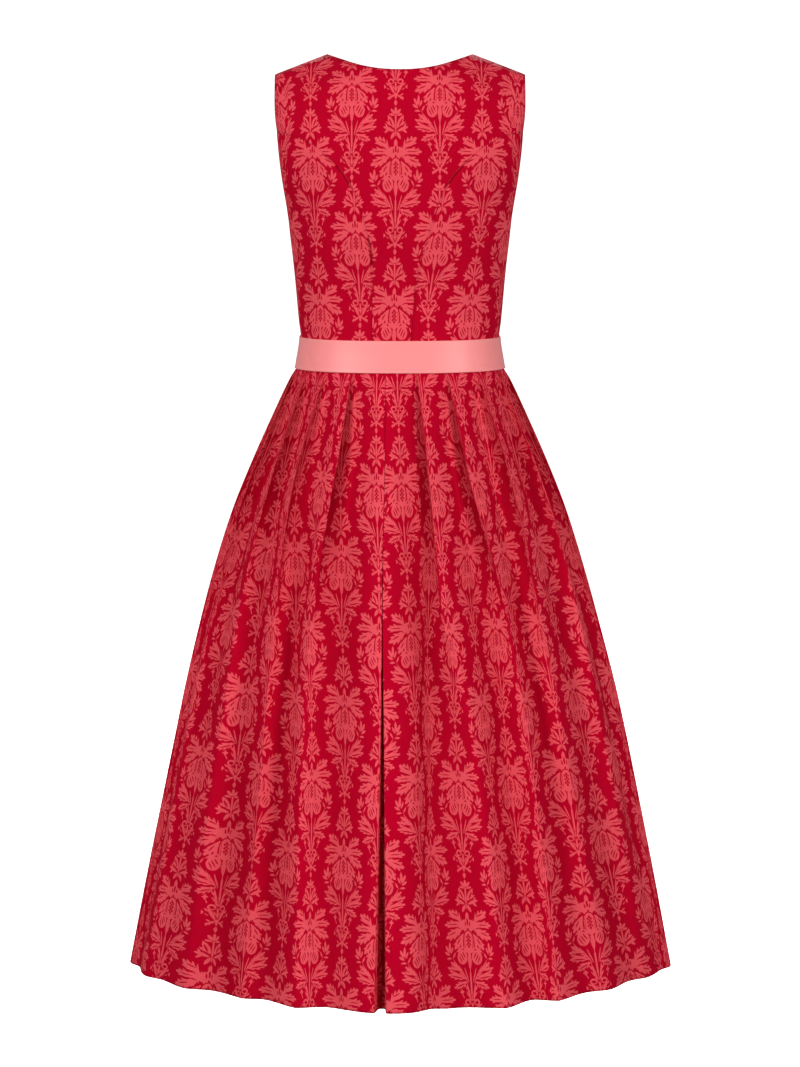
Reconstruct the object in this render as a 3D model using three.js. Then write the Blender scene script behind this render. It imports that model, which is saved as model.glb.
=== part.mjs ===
// A sleeveless dirndl in its worn, hollow form: fitted bodice, ribbon round the waist, knife-pleated skirt.
// Millimetres. +Z is up, the centre back faces -Y and the wearer's right side is +X.
// The origin lies midway between the two shoulder high points. "drop" is the distance below it.
import * as THREE from 'three';

// Walls and gaps
const BODICE_WALL = 1.6;
const SKIRT_WALL = 1.5;
const RIBBON_WALL = 1.1;
const SEAM_GAP = 0.3;
const RIBBON_REST = 0.7;

// Heights, as drops below the shoulder high points
const UNDERARM_DROP = 188;
const RIBBON_TOP_DROP = 337.5;
const WAIST_DROP = 357;
const RIBBON_BOTTOM_DROP = 375.5;
const HEM_DROP = 1114;

// Shoulder line
const NECK_POINT_X = 87;
const SHOULDER_TIP_X = 150;
const SHOULDER_SLOPE = 0.4;
const NAPE_ROUNDING = 34;
const SHOULDER_REACH_FROM = 60;
const SHOULDER_REACH_TO = 200;

// Bodice section: width at each drop, and depth by the distance below the shoulder line
const BODICE_SQUARENESS = 2.3;
const BODICE_WIDTHS = [
  { drop: -40, half: 166 },
  { drop: 22, half: 166 },
  { drop: 78, half: 163 },
  { drop: 112, half: 156 },
  { drop: 145, half: 148 },
  { drop: 174, half: 139 },
  { drop: UNDERARM_DROP, half: 135.6 },
  { drop: 216, half: 132.4 },
  { drop: 259, half: 127.6 },
  { drop: 320, half: 122.1 },
  { drop: RIBBON_TOP_DROP, half: 120.1 },
  { drop: WAIST_DROP, half: 122.3 },
];
const BACK_DEPTHS = [
  { below: 0, depth: 0 },
  { below: 1, depth: 7.5 },
  { below: 4, depth: 15 },
  { below: 10, depth: 25 },
  { below: 22, depth: 44 },
  { below: 42, depth: 66 },
  { below: 85, depth: 83 },
  { below: 140, depth: 93 },
  { below: 220, depth: 92 },
  { below: 320, depth: 79 },
  { below: 361, depth: 83.5 },
  { below: 381, depth: 85.6 },
];
const FRONT_DEPTHS = [
  { below: 0, depth: 0 },
  { below: 1, depth: 6 },
  { below: 4, depth: 12 },
  { below: 10, depth: 19 },
  { below: 22, depth: 29 },
  { below: 42, depth: 41 },
  { below: 85, depth: 59 },
  { below: 140, depth: 81 },
  { below: 205, depth: 98 },
  { below: 265, depth: 105 },
  { below: 320, depth: 94 },
  { below: 361, depth: 86 },
  { below: 381, depth: 87.6 },
];
const CUP = { x: 74, drop: 222, swell: 13, reachX: 52, reachDrop: 58 };

// Cut edges of the bodice, each row a point on the torso
const BACK_NECK = [
  { x: -NECK_POINT_X, drop: 0 },
  { x: -68, drop: 6.4 },
  { x: -45, drop: 13.2 },
  { x: -22, drop: 17 },
  { x: 0, drop: 18 },
  { x: 22, drop: 17 },
  { x: 45, drop: 13.2 },
  { x: 68, drop: 6.4 },
  { x: NECK_POINT_X, drop: 0 },
];
const BACK_SEAM_LEFT = [
  { x: -33, drop: WAIST_DROP },
  { x: -33, drop: 300 },
  { x: -33.5, drop: 232 },
  { x: -46, drop: 184 },
  { x: -59, drop: 150 },
  { x: -77, drop: 127 },
  { x: -103, drop: 106 },
  { x: -122, drop: 97.5 },
  { x: -146.5, drop: 93 },
];
const BACK_SEAM_RIGHT = [
  { x: 10, drop: WAIST_DROP },
  { x: 14.5, drop: 312 },
  { x: 20, drop: 262 },
  { x: 36, drop: 204 },
  { x: 55, drop: 153 },
  { x: 74, drop: 128.5 },
  { x: 102, drop: 107 },
  { x: 122, drop: 97.5 },
  { x: 146.5, drop: 93 },
];
const BACK_ARMHOLE_UPPER = [
  { x: 146.5, drop: 93 },
  { x: 149.2, drop: 70 },
  { x: SHOULDER_TIP_X, drop: shoulderDrop(SHOULDER_TIP_X) },
];
const BACK_ARMHOLE_LOWER = [
  { x: 146.5, drop: 93 },
  { x: 144.6, drop: 116 },
  { x: 141.2, drop: 146 },
  { x: 138, drop: 168 },
  { x: 136.2, drop: 181 },
  { x: 135.7, drop: 186.5 },
  { x: 135.6, drop: UNDERARM_DROP },
];
const FRONT_ARMHOLE = [
  { x: 135.6, drop: UNDERARM_DROP },
  { x: 135.9, drop: 183 },
  { x: 134.5, drop: 175 },
  { x: 132.6, drop: 160 },
  { x: 129.5, drop: 138 },
  { x: 127.5, drop: 108 },
  { x: 134, drop: 68 },
  { x: SHOULDER_TIP_X, drop: shoulderDrop(SHOULDER_TIP_X) },
];
const FRONT_NECK = [
  { x: 0, drop: 187 },
  { x: 28, drop: 179 },
  { x: 54, drop: 160 },
  { x: 72, drop: 122 },
  { x: 82, drop: 62 },
  { x: NECK_POINT_X, drop: 0 },
];

// Grid of the bodice pieces
const SEAM_ROWS = 12;
const UPPER_ARMHOLE_ROWS = 4;
const STRAP_COLUMNS = 3;
const BACK_NECK_COLUMNS = 8;
const SIDE_COLUMNS = 7;
const FRONT_COLUMNS = 8;
const FRONT_OPENING_ROWS = 12;
const FRONT_ARMHOLE_ROWS = 7;

// Skirt section at each drop, measured over the pleat crests at the waist
const SKIRT_FORM = [
  { drop: WAIST_DROP, half: 122.7, back: 86, front: 88, squareness: 2.3 },
  { drop: 366, half: 124.2, back: 87.4, front: 89.4, squareness: 2.3 },
  { drop: RIBBON_BOTTOM_DROP, half: 125.7, back: 88.9, front: 91, squareness: 2.3 },
  { drop: 384, half: 131, back: 93, front: 95, squareness: 2.25 },
  { drop: 403, half: 140.8, back: 100, front: 103, squareness: 2.22 },
  { drop: 431, half: 154, back: 110, front: 114, squareness: 2.18 },
  { drop: 489, half: 180.1, back: 128, front: 132, squareness: 2.1 },
  { drop: 545, half: 202.2, back: 143, front: 147, squareness: 2.02 },
  { drop: 612, half: 223.1, back: 157, front: 161, squareness: 1.95 },
  { drop: 689, half: 244.4, back: 172, front: 175, squareness: 1.88 },
  { drop: 778, half: 267.8, back: 187, front: 189, squareness: 1.82 },
  { drop: 932, half: 301.3, back: 211, front: 211, squareness: 1.74 },
  { drop: 1020, half: 319.5, back: 223, front: 223, squareness: 1.7 },
  { drop: HEM_DROP, half: 337.9, back: 236, front: 236, squareness: 1.68 },
];
const SKIRT_ROW_DROPS = [
  WAIST_DROP, 366, RIBBON_BOTTOM_DROP, 386, 400, 420, 447, 483, 528, 584, 650, 722, 800, 880, 960, 1038, HEM_DROP,
];

// Pleats. A row is one fold line: its angle from the centre back at five drops, and the height of the fold
// at the middle and at the hem. Every fold edge faces the centre back, where two of them meet.
const PLEAT_LEVELS = { waist: 375, upper: 483, middle: 640, lower: 800, hem: HEM_DROP };
const CENTRE_PLEAT = { waist: -7.7, upper: -5.8, middle: -5.1, lower: -4.3, hem: -3.9, swell: 12, hemSwell: 10 };
const FRONT_MEETING = { waist: 176, upper: 176, middle: 176, lower: 176, hem: 176, swell: 6, hemSwell: 5 };
const PLEATS_RIGHT = [
  { waist: 9.1, upper: 10.5, middle: 11.9, lower: 18.2, hem: 21.3, swell: 15, hemSwell: 22 },
  { waist: 26.1, upper: 26.4, middle: 31.6, lower: 33, hem: 33.5, swell: 14, hemSwell: 17 },
  { waist: 46.3, upper: 45.7, middle: 43.8, lower: 44.6, hem: 48.6, swell: 11, hemSwell: 6 },
  { waist: 66.7, upper: 65.2, middle: 63, lower: 62, hem: 63, swell: 9, hemSwell: 5 },
  { waist: 84, upper: 83, middle: 81, lower: 80, hem: 79, swell: 8, hemSwell: 6 },
  { waist: 101, upper: 101, middle: 100, lower: 99, hem: 98, swell: 9, hemSwell: 8 },
  { waist: 119, upper: 118, middle: 117, lower: 117, hem: 116, swell: 10, hemSwell: 11 },
  { waist: 137, upper: 136, middle: 136, lower: 135, hem: 134, swell: 11, hemSwell: 13 },
  { waist: 156, upper: 155, middle: 154, lower: 153, hem: 152, swell: 11, hemSwell: 12 },
];
const PLEATS_LEFT = [
  { waist: -26.4, upper: -24.9, middle: -25.6, lower: -24.4, hem: -21, swell: 14, hemSwell: 17 },
  { waist: -44.4, upper: -43.1, middle: -38.5, lower: -36, hem: -34.5, swell: 12, hemSwell: 11 },
  { waist: -60.5, upper: -56.5, middle: -53.5, lower: -51, hem: -50, swell: 10, hemSwell: 8 },
  { waist: -78, upper: -75, middle: -71, lower: -68, hem: -66, swell: 8, hemSwell: 6 },
  { waist: -96, upper: -94, middle: -90, lower: -86, hem: -83, swell: 8, hemSwell: 6 },
  { waist: -113, upper: -111, middle: -108, lower: -104, hem: -101, swell: 9, hemSwell: 8 },
  { waist: -131, upper: -129, middle: -126, lower: -123, hem: -120, swell: 10, hemSwell: 11 },
  { waist: -149, upper: -147, middle: -145, lower: -142, hem: -140, swell: 11, hemSwell: 13 },
  { waist: -167, upper: -166, middle: -164, lower: -162, hem: -161, swell: 9, hemSwell: 10 },
];
const PLEAT_STEP = 4;
const PLEAT_STEP_UPPER = 7;
const STEP_SHARE = [
  { drop: WAIST_DROP, share: 0.07 },
  { drop: 430, share: 0.09 },
  { drop: 560, share: 0.18 },
  { drop: 800, share: 0.28 },
  { drop: HEM_DROP, share: 0.36 },
];
const ROUNDING_FROM = 376;
const ROUNDING_TO = 600;
const SLOPE_STOPS = [0.25, 0.55, 0.83, 1];
const STEP_STOPS = [0.36, 0.7];

// The channel between the two fold edges at the centre back
const CHANNEL = [
  { drop: WAIST_DROP, width: 1.6, depth: 4 },
  { drop: 483, width: 1.8, depth: 7 },
  { drop: 640, width: 2.4, depth: 11 },
  { drop: 800, width: 4.6, depth: 15 },
  { drop: HEM_DROP, width: 14.5, depth: 22 },
];
const CHANNEL_WALL_STOPS = [
  { across: 0.72, down: 0.5 },
  { across: 0.45, down: 1 },
];

// Soft folds that start below the waist: troughs between the pleats
const SOFT_FOLDS = [
  { angle: 7.6, hemAngle: 6.6, from: 560, full: 760, depth: 8, reach: 2.6 },
  { angle: -40, hemAngle: -38, from: 640, full: 980, depth: 9, reach: 9 },
  { angle: 47, hemAngle: 58, from: 700, full: 1000, depth: 6, reach: 8 },
];

// The ribbon
const RIBBON_COLUMNS = 72;
const RIBBON_ROW_DROPS = [RIBBON_TOP_DROP, 347, WAIST_DROP, 366, RIBBON_BOTTOM_DROP];

const CLOTH_COLOUR = 0xbe0a32;
const RIBBON_COLOUR = 0xf88f8c;
const CLOTH_ROUGHNESS = 0.75;
const RIBBON_ROUGHNESS = 0.45;

const DEGREE = Math.PI / 180;
const NUDGE = 0.25;

// Drop of the shoulder line, carried on in a round bridge across the nape.
function shoulderDrop(x) {
  return SHOULDER_SLOPE * (Math.hypot(x, NAPE_ROUNDING) - Math.hypot(NECK_POINT_X, NAPE_ROUNDING));
}

// A smooth curve through the rows of a table, with no overshoot.
function through(rows, from, to) {
  const last = rows.length - 1;
  const slopes = rows.slice(1).map((row, i) => (row[to] - rows[i][to]) / (row[from] - rows[i][from]));
  const tangents = rows.map((row, i) => {
    if (i === 0) return slopes[0];
    if (i === last) return slopes[last - 1];
    const product = slopes[i - 1] * slopes[i];
    return product <= 0 ? 0 : (2 * product) / (slopes[i - 1] + slopes[i]);
  });
  return (at) => {
    let i = 0;
    while (i < last - 1 && at > rows[i + 1][from]) i += 1;
    const span = rows[i + 1][from] - rows[i][from];
    const t = THREE.MathUtils.clamp((at - rows[i][from]) / span, 0, 1);
    const t2 = t * t;
    const t3 = t2 * t;
    return rows[i][to] * (2 * t3 - 3 * t2 + 1) + rows[i + 1][to] * (3 * t2 - 2 * t3)
      + span * (tangents[i] * (t3 - 2 * t2 + t) + tangents[i + 1] * (t3 - t2));
  };
}

// One point of a closed section: angle 0 at the centre back, 90 at the wearer's right side.
function section(angle, half, back, front, squareness) {
  const sine = Math.sin(angle * DEGREE);
  const rest = Math.max(0, 1 - Math.abs(sine) ** squareness) ** (1 / squareness);
  const behind = Math.cos(angle * DEGREE) > 0;
  return { x: half * sine, y: behind ? -back * rest : front * rest };
}

// ---- Bodice ----

const rootRows = (rows) => rows.map((row) => ({ root: Math.sqrt(row.below), depth: row.depth }));
const bodiceHalf = through(BODICE_WIDTHS, 'drop', 'half');
const backDepth = through(rootRows(BACK_DEPTHS), 'root', 'depth');
const frontDepth = through(rootRows(FRONT_DEPTHS), 'root', 'depth');

function torsoPoint(angle, drop) {
  const half = bodiceHalf(drop);
  const x = half * Math.sin(angle * DEGREE);
  const reach = 1 - THREE.MathUtils.smoothstep(drop, SHOULDER_REACH_FROM, SHOULDER_REACH_TO);
  const below = drop - shoulderDrop(x * reach);
  const root = Math.sqrt(Math.max(0, below));
  const point = section(angle, half, backDepth(root), frontDepth(root), BODICE_SQUARENESS);
  if (point.y > 0) {
    const acrossCup = (Math.abs(x) - CUP.x) / CUP.reachX;
    const downCup = (drop - CUP.drop) / CUP.reachDrop;
    point.y += CUP.swell * Math.exp(-acrossCup * acrossCup - downCup * downCup) * Math.min(1, point.y / CUP.x);
  }
  return new THREE.Vector3(point.x, point.y, -drop);
}

function torsoNormal(angle, drop) {
  const x = bodiceHalf(drop) * Math.sin(angle * DEGREE);
  if (drop < shoulderDrop(x) + NUDGE) return new THREE.Vector3(Math.sign(x) * SHOULDER_SLOPE, 0, 1).normalize();
  const acrossTorso = torsoPoint(angle + NUDGE, drop).sub(torsoPoint(angle - NUDGE, drop));
  const upTorso = torsoPoint(angle, drop - NUDGE).sub(torsoPoint(angle, drop + NUDGE));
  return acrossTorso.cross(upTorso).normalize();
}

// Points along a cut edge, given on the torso and returned as angle and drop.
function edge(rows, face, count) {
  const curve = new THREE.CatmullRomCurve3(rows.map((row) => new THREE.Vector3(row.x, row.drop, 0)), false, 'centripetal');
  return curve.getSpacedPoints(count).map((point) => {
    const lean = Math.asin(THREE.MathUtils.clamp(point.x / bodiceHalf(point.y), -1, 1)) / DEGREE;
    return { angle: face === 'back' ? lean : 180 - lean, drop: point.y };
  });
}

// Points along a shoulder seam, from the neck point out to the shoulder tip.
function shoulderSeam(face, count) {
  const rows = Array.from({ length: count + 1 }, (_, i) => {
    const x = THREE.MathUtils.lerp(NECK_POINT_X, SHOULDER_TIP_X, i / count);
    return { x, drop: shoulderDrop(x) };
  });
  return edge(rows, face, count);
}

const mirrored = (points) => points.map((point) => ({ angle: -point.angle, drop: point.drop }));

function line(from, to, count) {
  return Array.from({ length: count + 1 }, (_, i) => ({
    angle: THREE.MathUtils.lerp(from.angle, to.angle, i / count),
    drop: THREE.MathUtils.lerp(from.drop, to.drop, i / count),
  }));
}

// Fills the space between four edges that meet at their ends.
function fill(bottom, top, left, right) {
  const rows = left.length - 1;
  const columns = bottom.length - 1;
  const blend = (key, i, j) => {
    const v = i / rows;
    const u = j / columns;
    const corners = (1 - v) * ((1 - u) * bottom[0][key] + u * bottom[columns][key])
      + v * ((1 - u) * top[0][key] + u * top[columns][key]);
    return (1 - u) * left[i][key] + u * right[i][key] + (1 - v) * bottom[j][key] + v * top[j][key] - corners;
  };
  return left.map((_, i) => bottom.map((__, j) => {
    const angle = blend('angle', i, j);
    const drop = blend('drop', i, j);
    return { point: torsoPoint(angle, drop), normal: torsoNormal(angle, drop) };
  }));
}

// ---- Skirt ----

const skirtHalf = through(SKIRT_FORM, 'drop', 'half');
const skirtBack = through(SKIRT_FORM, 'drop', 'back');
const skirtFront = through(SKIRT_FORM, 'drop', 'front');
const skirtSquareness = through(SKIRT_FORM, 'drop', 'squareness');
const stepShare = through(STEP_SHARE, 'drop', 'share');
const channelWidth = through(CHANNEL, 'drop', 'width');
const channelDepth = through(CHANNEL, 'drop', 'depth');

function foldLine(row) {
  const angles = Object.keys(PLEAT_LEVELS).map((level) => ({ drop: PLEAT_LEVELS[level], angle: row[level] }));
  const heights = [
    { drop: PLEAT_LEVELS.waist, height: PLEAT_STEP },
    { drop: PLEAT_LEVELS.upper, height: PLEAT_STEP_UPPER },
    { drop: PLEAT_LEVELS.middle, height: row.swell },
    { drop: PLEAT_LEVELS.hem, height: row.hemSwell },
  ];
  return { angle: through(angles, 'drop', 'angle'), height: through(heights, 'drop', 'height') };
}

function formPoint(angle, drop) {
  return section(angle, skirtHalf(drop), skirtBack(drop), skirtFront(drop), skirtSquareness(drop));
}

// A point moved straight out from the section by the given distance.
function formPointOut(angle, drop, out) {
  const here = formPoint(angle, drop);
  const ahead = formPoint(angle + NUDGE, drop);
  const astern = formPoint(angle - NUDGE, drop);
  const along = new THREE.Vector2(ahead.x - astern.x, ahead.y - astern.y).normalize();
  return new THREE.Vector3(here.x + along.y * out, here.y - along.x * out, -drop);
}

function softFoldDepth(angle, drop) {
  return SOFT_FOLDS.reduce((sum, fold) => {
    const grown = THREE.MathUtils.smoothstep(drop, fold.from, fold.full);
    const at = THREE.MathUtils.mapLinear(drop, fold.from, HEM_DROP, fold.angle, fold.hemAngle);
    return sum + fold.depth * grown * Math.exp(-(((angle - at) / fold.reach) ** 2));
  }, 0);
}

// Columns of one pleat, from just past its own fold edge to the next fold edge.
function pleatColumns(inner, outer, drop) {
  const rounding = THREE.MathUtils.smoothstep(drop, ROUNDING_FROM, ROUNDING_TO);
  const share = stepShare(drop);
  const column = (u, flat, round) => {
    const angle = THREE.MathUtils.lerp(inner.angle(drop), outer.angle(drop), u);
    const height = THREE.MathUtils.lerp(inner.height(drop), outer.height(drop), u);
    const level = THREE.MathUtils.lerp(flat, round, rounding);
    return { angle, out: height * (level - 1 + 0.5 * rounding) - softFoldDepth(angle, drop) };
  };
  return [
    ...SLOPE_STOPS.map((v) => column(v * (1 - share), 1 - v, 0.5 + 0.5 * Math.cos(Math.PI * v))),
    ...STEP_STOPS.map((w) => column(1 - share + w * share, w, 0.5 - 0.5 * Math.cos(Math.PI * w))),
    column(1, 1, 1),
  ];
}

// The columns on one side of the centre-back seam, from the channel floor round to the front.
function sideColumns(pleats, meeting, sign, drop) {
  const lines = [CENTRE_PLEAT, ...pleats].map(foldLine);
  const centre = lines[0].angle(drop);
  const degreesAcross = 1 / (skirtHalf(drop) * DEGREE * Math.cos(centre * DEGREE));
  const halfChannel = 0.5 * channelWidth(drop) * degreesAcross * sign;
  const lip = { angle: () => centre + halfChannel, height: lines[0].height };
  const first = pleatColumns(lip, lines[1], drop);
  const rounding = THREE.MathUtils.smoothstep(drop, ROUNDING_FROM, ROUNDING_TO);
  const lipOut = lines[0].height(drop) * 0.5 * rounding;
  const channel = [
    { angle: centre, out: lipOut - channelDepth(drop) },
    ...CHANNEL_WALL_STOPS.slice().reverse().map((stop) => (
      { angle: centre + halfChannel * stop.across, out: lipOut - channelDepth(drop) * stop.down })),
    { angle: centre + halfChannel, out: lipOut },
  ];
  const rest = lines.slice(1).map((inner, i) => {
    const outer = lines[i + 2];
    return outer ? pleatColumns(inner, outer, drop) : lastPleatColumns(inner, meeting, sign, drop);
  });
  return [...channel, ...first, ...rest.flat()];
}

// The pleat next to the centre front slopes down to the meeting line and has no step.
function lastPleatColumns(inner, meeting, sign, drop) {
  const rounding = THREE.MathUtils.smoothstep(drop, ROUNDING_FROM, ROUNDING_TO);
  const end = sign > 0 ? meeting.angle(drop) : meeting.angle(drop) - 360;
  return SLOPE_STOPS.map((v) => ({
    angle: THREE.MathUtils.lerp(inner.angle(drop), end, v),
    out: THREE.MathUtils.lerp(inner.height(drop), meeting.height(drop), v)
      * (THREE.MathUtils.lerp(1 - v, 0.5 + 0.5 * Math.cos(Math.PI * v), rounding) - 1 + 0.5 * rounding),
  }));
}

function skirtRing() {
  const meeting = foldLine(FRONT_MEETING);
  const rows = SKIRT_ROW_DROPS.map((drop) => {
    const right = sideColumns(PLEATS_RIGHT, meeting, 1, drop);
    const left = sideColumns(PLEATS_LEFT, meeting, -1, drop);
    const round = [...right, ...left.slice(1, -1).reverse()];
    return round.map((column) => formPointOut(column.angle, drop, column.out));
  }).reverse();
  const count = rows[0].length;
  const rightCount = sideColumns(PLEATS_RIGHT, meeting, 1, HEM_DROP).length;
  const grid = rows.map((row, i) => row.map((point, j) => {
    const acrossCloth = row[(j + 1) % count].clone().sub(row[(j + count - 1) % count]);
    const upCloth = rows[Math.min(i + 1, rows.length - 1)][j].clone().sub(rows[Math.max(i - 1, 0)][j]);
    return { point, normal: acrossCloth.cross(upCloth).normalize() };
  }));
  return { grid, front: rightCount - 1, count };
}

// ---- Solids ----

// Moves the outline of a grid inwards within the cloth by half a seam gap.
function insetOutline(grid) {
  const rows = grid.length - 1;
  const columns = grid[0].length - 1;
  const shift = (i, j, alongI, alongJ, inI, inJ) => {
    const before = grid[Math.max(i - alongI, 0)][Math.max(j - alongJ, 0)].point;
    const after = grid[Math.min(i + alongI, rows)][Math.min(j + alongJ, columns)].point;
    const inwards = grid[i + inI][j + inJ].point.clone().sub(grid[i][j].point);
    const across = after.clone().sub(before).cross(grid[i][j].normal).normalize();
    return across.multiplyScalar(Math.sign(across.dot(inwards)) * SEAM_GAP / 2);
  };
  return grid.map((row, i) => row.map(({ point, normal }, j) => {
    const moved = point.clone();
    if (i === 0) moved.add(shift(i, j, 0, 1, 1, 0));
    if (i === rows) moved.add(shift(i, j, 0, 1, -1, 0));
    if (j === 0) moved.add(shift(i, j, 1, 0, 0, 1));
    if (j === columns) moved.add(shift(i, j, 1, 0, 0, -1));
    return { point: moved, normal };
  }));
}

// Turns a grid of outer points into a closed wall. The grid runs up and to the wearer's right, seen from outside.
function wallGeometry(grid, wall, closedRound) {
  const rows = grid.length;
  const columns = grid[0].length;
  const outer = grid.flat().map(({ point }) => point);
  const inner = grid.flat().map(({ point, normal }) => point.clone().addScaledVector(normal, -wall));
  const at = (i, j) => i * columns + (j % columns);
  const faces = [];
  const quad = (a, b, c, d) => faces.push(a, b, c, a, c, d);
  const behind = outer.length;
  const spans = closedRound ? columns : columns - 1;
  for (let i = 0; i < rows - 1; i += 1) {
    for (let j = 0; j < spans; j += 1) {
      quad(at(i, j), at(i, j + 1), at(i + 1, j + 1), at(i + 1, j));
      quad(behind + at(i, j), behind + at(i + 1, j), behind + at(i + 1, j + 1), behind + at(i, j + 1));
    }
    if (!closedRound) {
      quad(at(i, 0), at(i + 1, 0), behind + at(i + 1, 0), behind + at(i, 0));
      quad(at(i, spans), behind + at(i, spans), behind + at(i + 1, spans), at(i + 1, spans));
    }
  }
  for (let j = 0; j < spans; j += 1) {
    quad(at(0, j), behind + at(0, j), behind + at(0, j + 1), at(0, j + 1));
    quad(at(rows - 1, j), at(rows - 1, j + 1), behind + at(rows - 1, j + 1), behind + at(rows - 1, j));
  }
  const geometry = new THREE.BufferGeometry();
  const positions = [...outer, ...inner].flatMap((point) => [point.x, point.y, point.z]);
  geometry.setAttribute('position', new THREE.Float32BufferAttribute(positions, 3));
  geometry.setIndex(faces);
  geometry.computeVertexNormals();
  return geometry;
}

const dirndl = new THREE.Group();
dirndl.name = 'dirndl';

function add(name, geometry, colour, roughness) {
  const material = new THREE.MeshStandardMaterial({ color: colour, roughness });
  material.name = name;
  const mesh = new THREE.Mesh(geometry, material);
  mesh.name = name;
  dirndl.add(mesh);
}

function addCloth(name, grid, wall) {
  add(name, wallGeometry(insetOutline(grid), wall, false), CLOTH_COLOUR, CLOTH_ROUGHNESS);
}

function addBodice() {
  const seamRight = edge(BACK_SEAM_RIGHT, 'back', SEAM_ROWS);
  const seamLeft = edge(BACK_SEAM_LEFT, 'back', SEAM_ROWS);
  const upperRight = edge(BACK_ARMHOLE_UPPER, 'back', UPPER_ARMHOLE_ROWS);
  const upperLeft = mirrored(upperRight);
  const neck = edge(BACK_NECK, 'back', BACK_NECK_COLUMNS);
  const strapRight = shoulderSeam('back', STRAP_COLUMNS);
  const strapLeft = mirrored(strapRight).reverse();
  const backTop = [...strapLeft, ...neck.slice(1, -1), ...strapRight];
  const backWaist = line(seamLeft[0], seamRight[0], backTop.length - 1);
  addCloth('back_centre', fill(
    backWaist,
    backTop,
    [...seamLeft, ...upperLeft.slice(1)],
    [...seamRight, ...upperRight.slice(1)],
  ), BODICE_WALL);

  const sideSeam = line({ angle: 90, drop: WAIST_DROP }, { angle: 90, drop: UNDERARM_DROP }, SEAM_ROWS);
  const lowerArmhole = edge(BACK_ARMHOLE_LOWER, 'back', SIDE_COLUMNS);
  lowerArmhole[SIDE_COLUMNS] = sideSeam[SEAM_ROWS];
  const sideWaistRight = line(seamRight[0], sideSeam[0], SIDE_COLUMNS);
  const sideWaistLeft = line(mirrored(sideSeam)[0], seamLeft[0], SIDE_COLUMNS);
  addCloth('back_side_right', fill(sideWaistRight, lowerArmhole, seamRight, sideSeam), BODICE_WALL);
  addCloth('back_side_left', fill(
    sideWaistLeft,
    mirrored(lowerArmhole).reverse(),
    mirrored(sideSeam),
    seamLeft,
  ), BODICE_WALL);

  const armhole = edge(FRONT_ARMHOLE, 'front', FRONT_ARMHOLE_ROWS);
  armhole[0] = sideSeam[SEAM_ROWS];
  const neckline = edge(FRONT_NECK, 'front', SEAM_ROWS + FRONT_ARMHOLE_ROWS - FRONT_OPENING_ROWS);
  const opening = line({ angle: 180, drop: WAIST_DROP }, neckline[0], FRONT_OPENING_ROWS);
  const outerEdge = [...sideSeam, ...armhole.slice(1)];
  const innerEdge = [...opening, ...neckline.slice(1)];
  const shoulder = shoulderSeam('front', FRONT_COLUMNS).reverse();
  const waist = line(sideSeam[0], opening[0], FRONT_COLUMNS);
  addCloth('front_right', fill(waist, shoulder, outerEdge, innerEdge), BODICE_WALL);
  addCloth('front_left', fill(
    mirrored(waist).reverse(),
    mirrored(shoulder).reverse(),
    mirrored(innerEdge),
    mirrored(outerEdge),
  ), BODICE_WALL);
}

function addRibbon() {
  const out = RIBBON_REST + RIBBON_WALL;
  const rows = RIBBON_ROW_DROPS.map((drop) => Array.from({ length: RIBBON_COLUMNS }, (_, j) => {
    const angle = (360 * j) / RIBBON_COLUMNS;
    if (drop >= WAIST_DROP) return formPointOut(angle, drop, out);
    const point = torsoPoint(angle, drop);
    return point.addScaledVector(torsoNormal(angle, drop).setZ(0).normalize(), out);
  })).reverse();
  const grid = rows.map((row, i) => row.map((point, j) => {
    const acrossRibbon = row[(j + 1) % RIBBON_COLUMNS].clone().sub(row[(j + RIBBON_COLUMNS - 1) % RIBBON_COLUMNS]);
    const upRibbon = rows[Math.min(i + 1, rows.length - 1)][j].clone().sub(rows[Math.max(i - 1, 0)][j]);
    return { point, normal: acrossRibbon.cross(upRibbon).normalize() };
  }));
  add('waist_ribbon', wallGeometry(grid, RIBBON_WALL, true), RIBBON_COLOUR, RIBBON_ROUGHNESS);
}

function addSkirt() {
  const { grid, front, count } = skirtRing();
  const angleAt = (point) => Math.atan2(point.x, -point.y) / DEGREE;
  const hem = grid[0];
  const nearest = (target) => hem.reduce((best, { point }, j) => (
    Math.abs(angleAt(point) - target) < Math.abs(angleAt(hem[best].point) - target) ? j : best), 0);
  const rightSide = nearest(90);
  const leftSide = nearest(-90);
  const cut = (from, to) => grid.map((row) => (
    Array.from({ length: to - from + 1 }, (_, j) => row[(from + j) % count])));
  addCloth('skirt_back_right', cut(0, rightSide), SKIRT_WALL);
  addCloth('skirt_front_right', cut(rightSide, front), SKIRT_WALL);
  addCloth('skirt_front_left', cut(front, leftSide), SKIRT_WALL);
  addCloth('skirt_back_left', cut(leftSide, count), SKIRT_WALL);
}

addBodice();
addRibbon();
addSkirt();

export default dirndl;
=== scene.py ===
import math

import bpy
import numpy as np
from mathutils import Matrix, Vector


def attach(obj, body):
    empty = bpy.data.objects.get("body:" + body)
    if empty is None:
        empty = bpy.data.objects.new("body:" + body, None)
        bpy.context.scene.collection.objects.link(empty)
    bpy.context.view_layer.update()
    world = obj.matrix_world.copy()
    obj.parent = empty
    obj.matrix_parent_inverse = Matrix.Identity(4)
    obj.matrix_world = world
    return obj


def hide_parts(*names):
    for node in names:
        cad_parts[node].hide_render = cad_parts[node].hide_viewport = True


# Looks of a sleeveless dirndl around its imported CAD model. Millimetres in the tables, metres in the meshes.
# "drop" is the distance below the shoulder high points. Angle 0 is the centre back, 90 the wearer's right.

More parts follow.
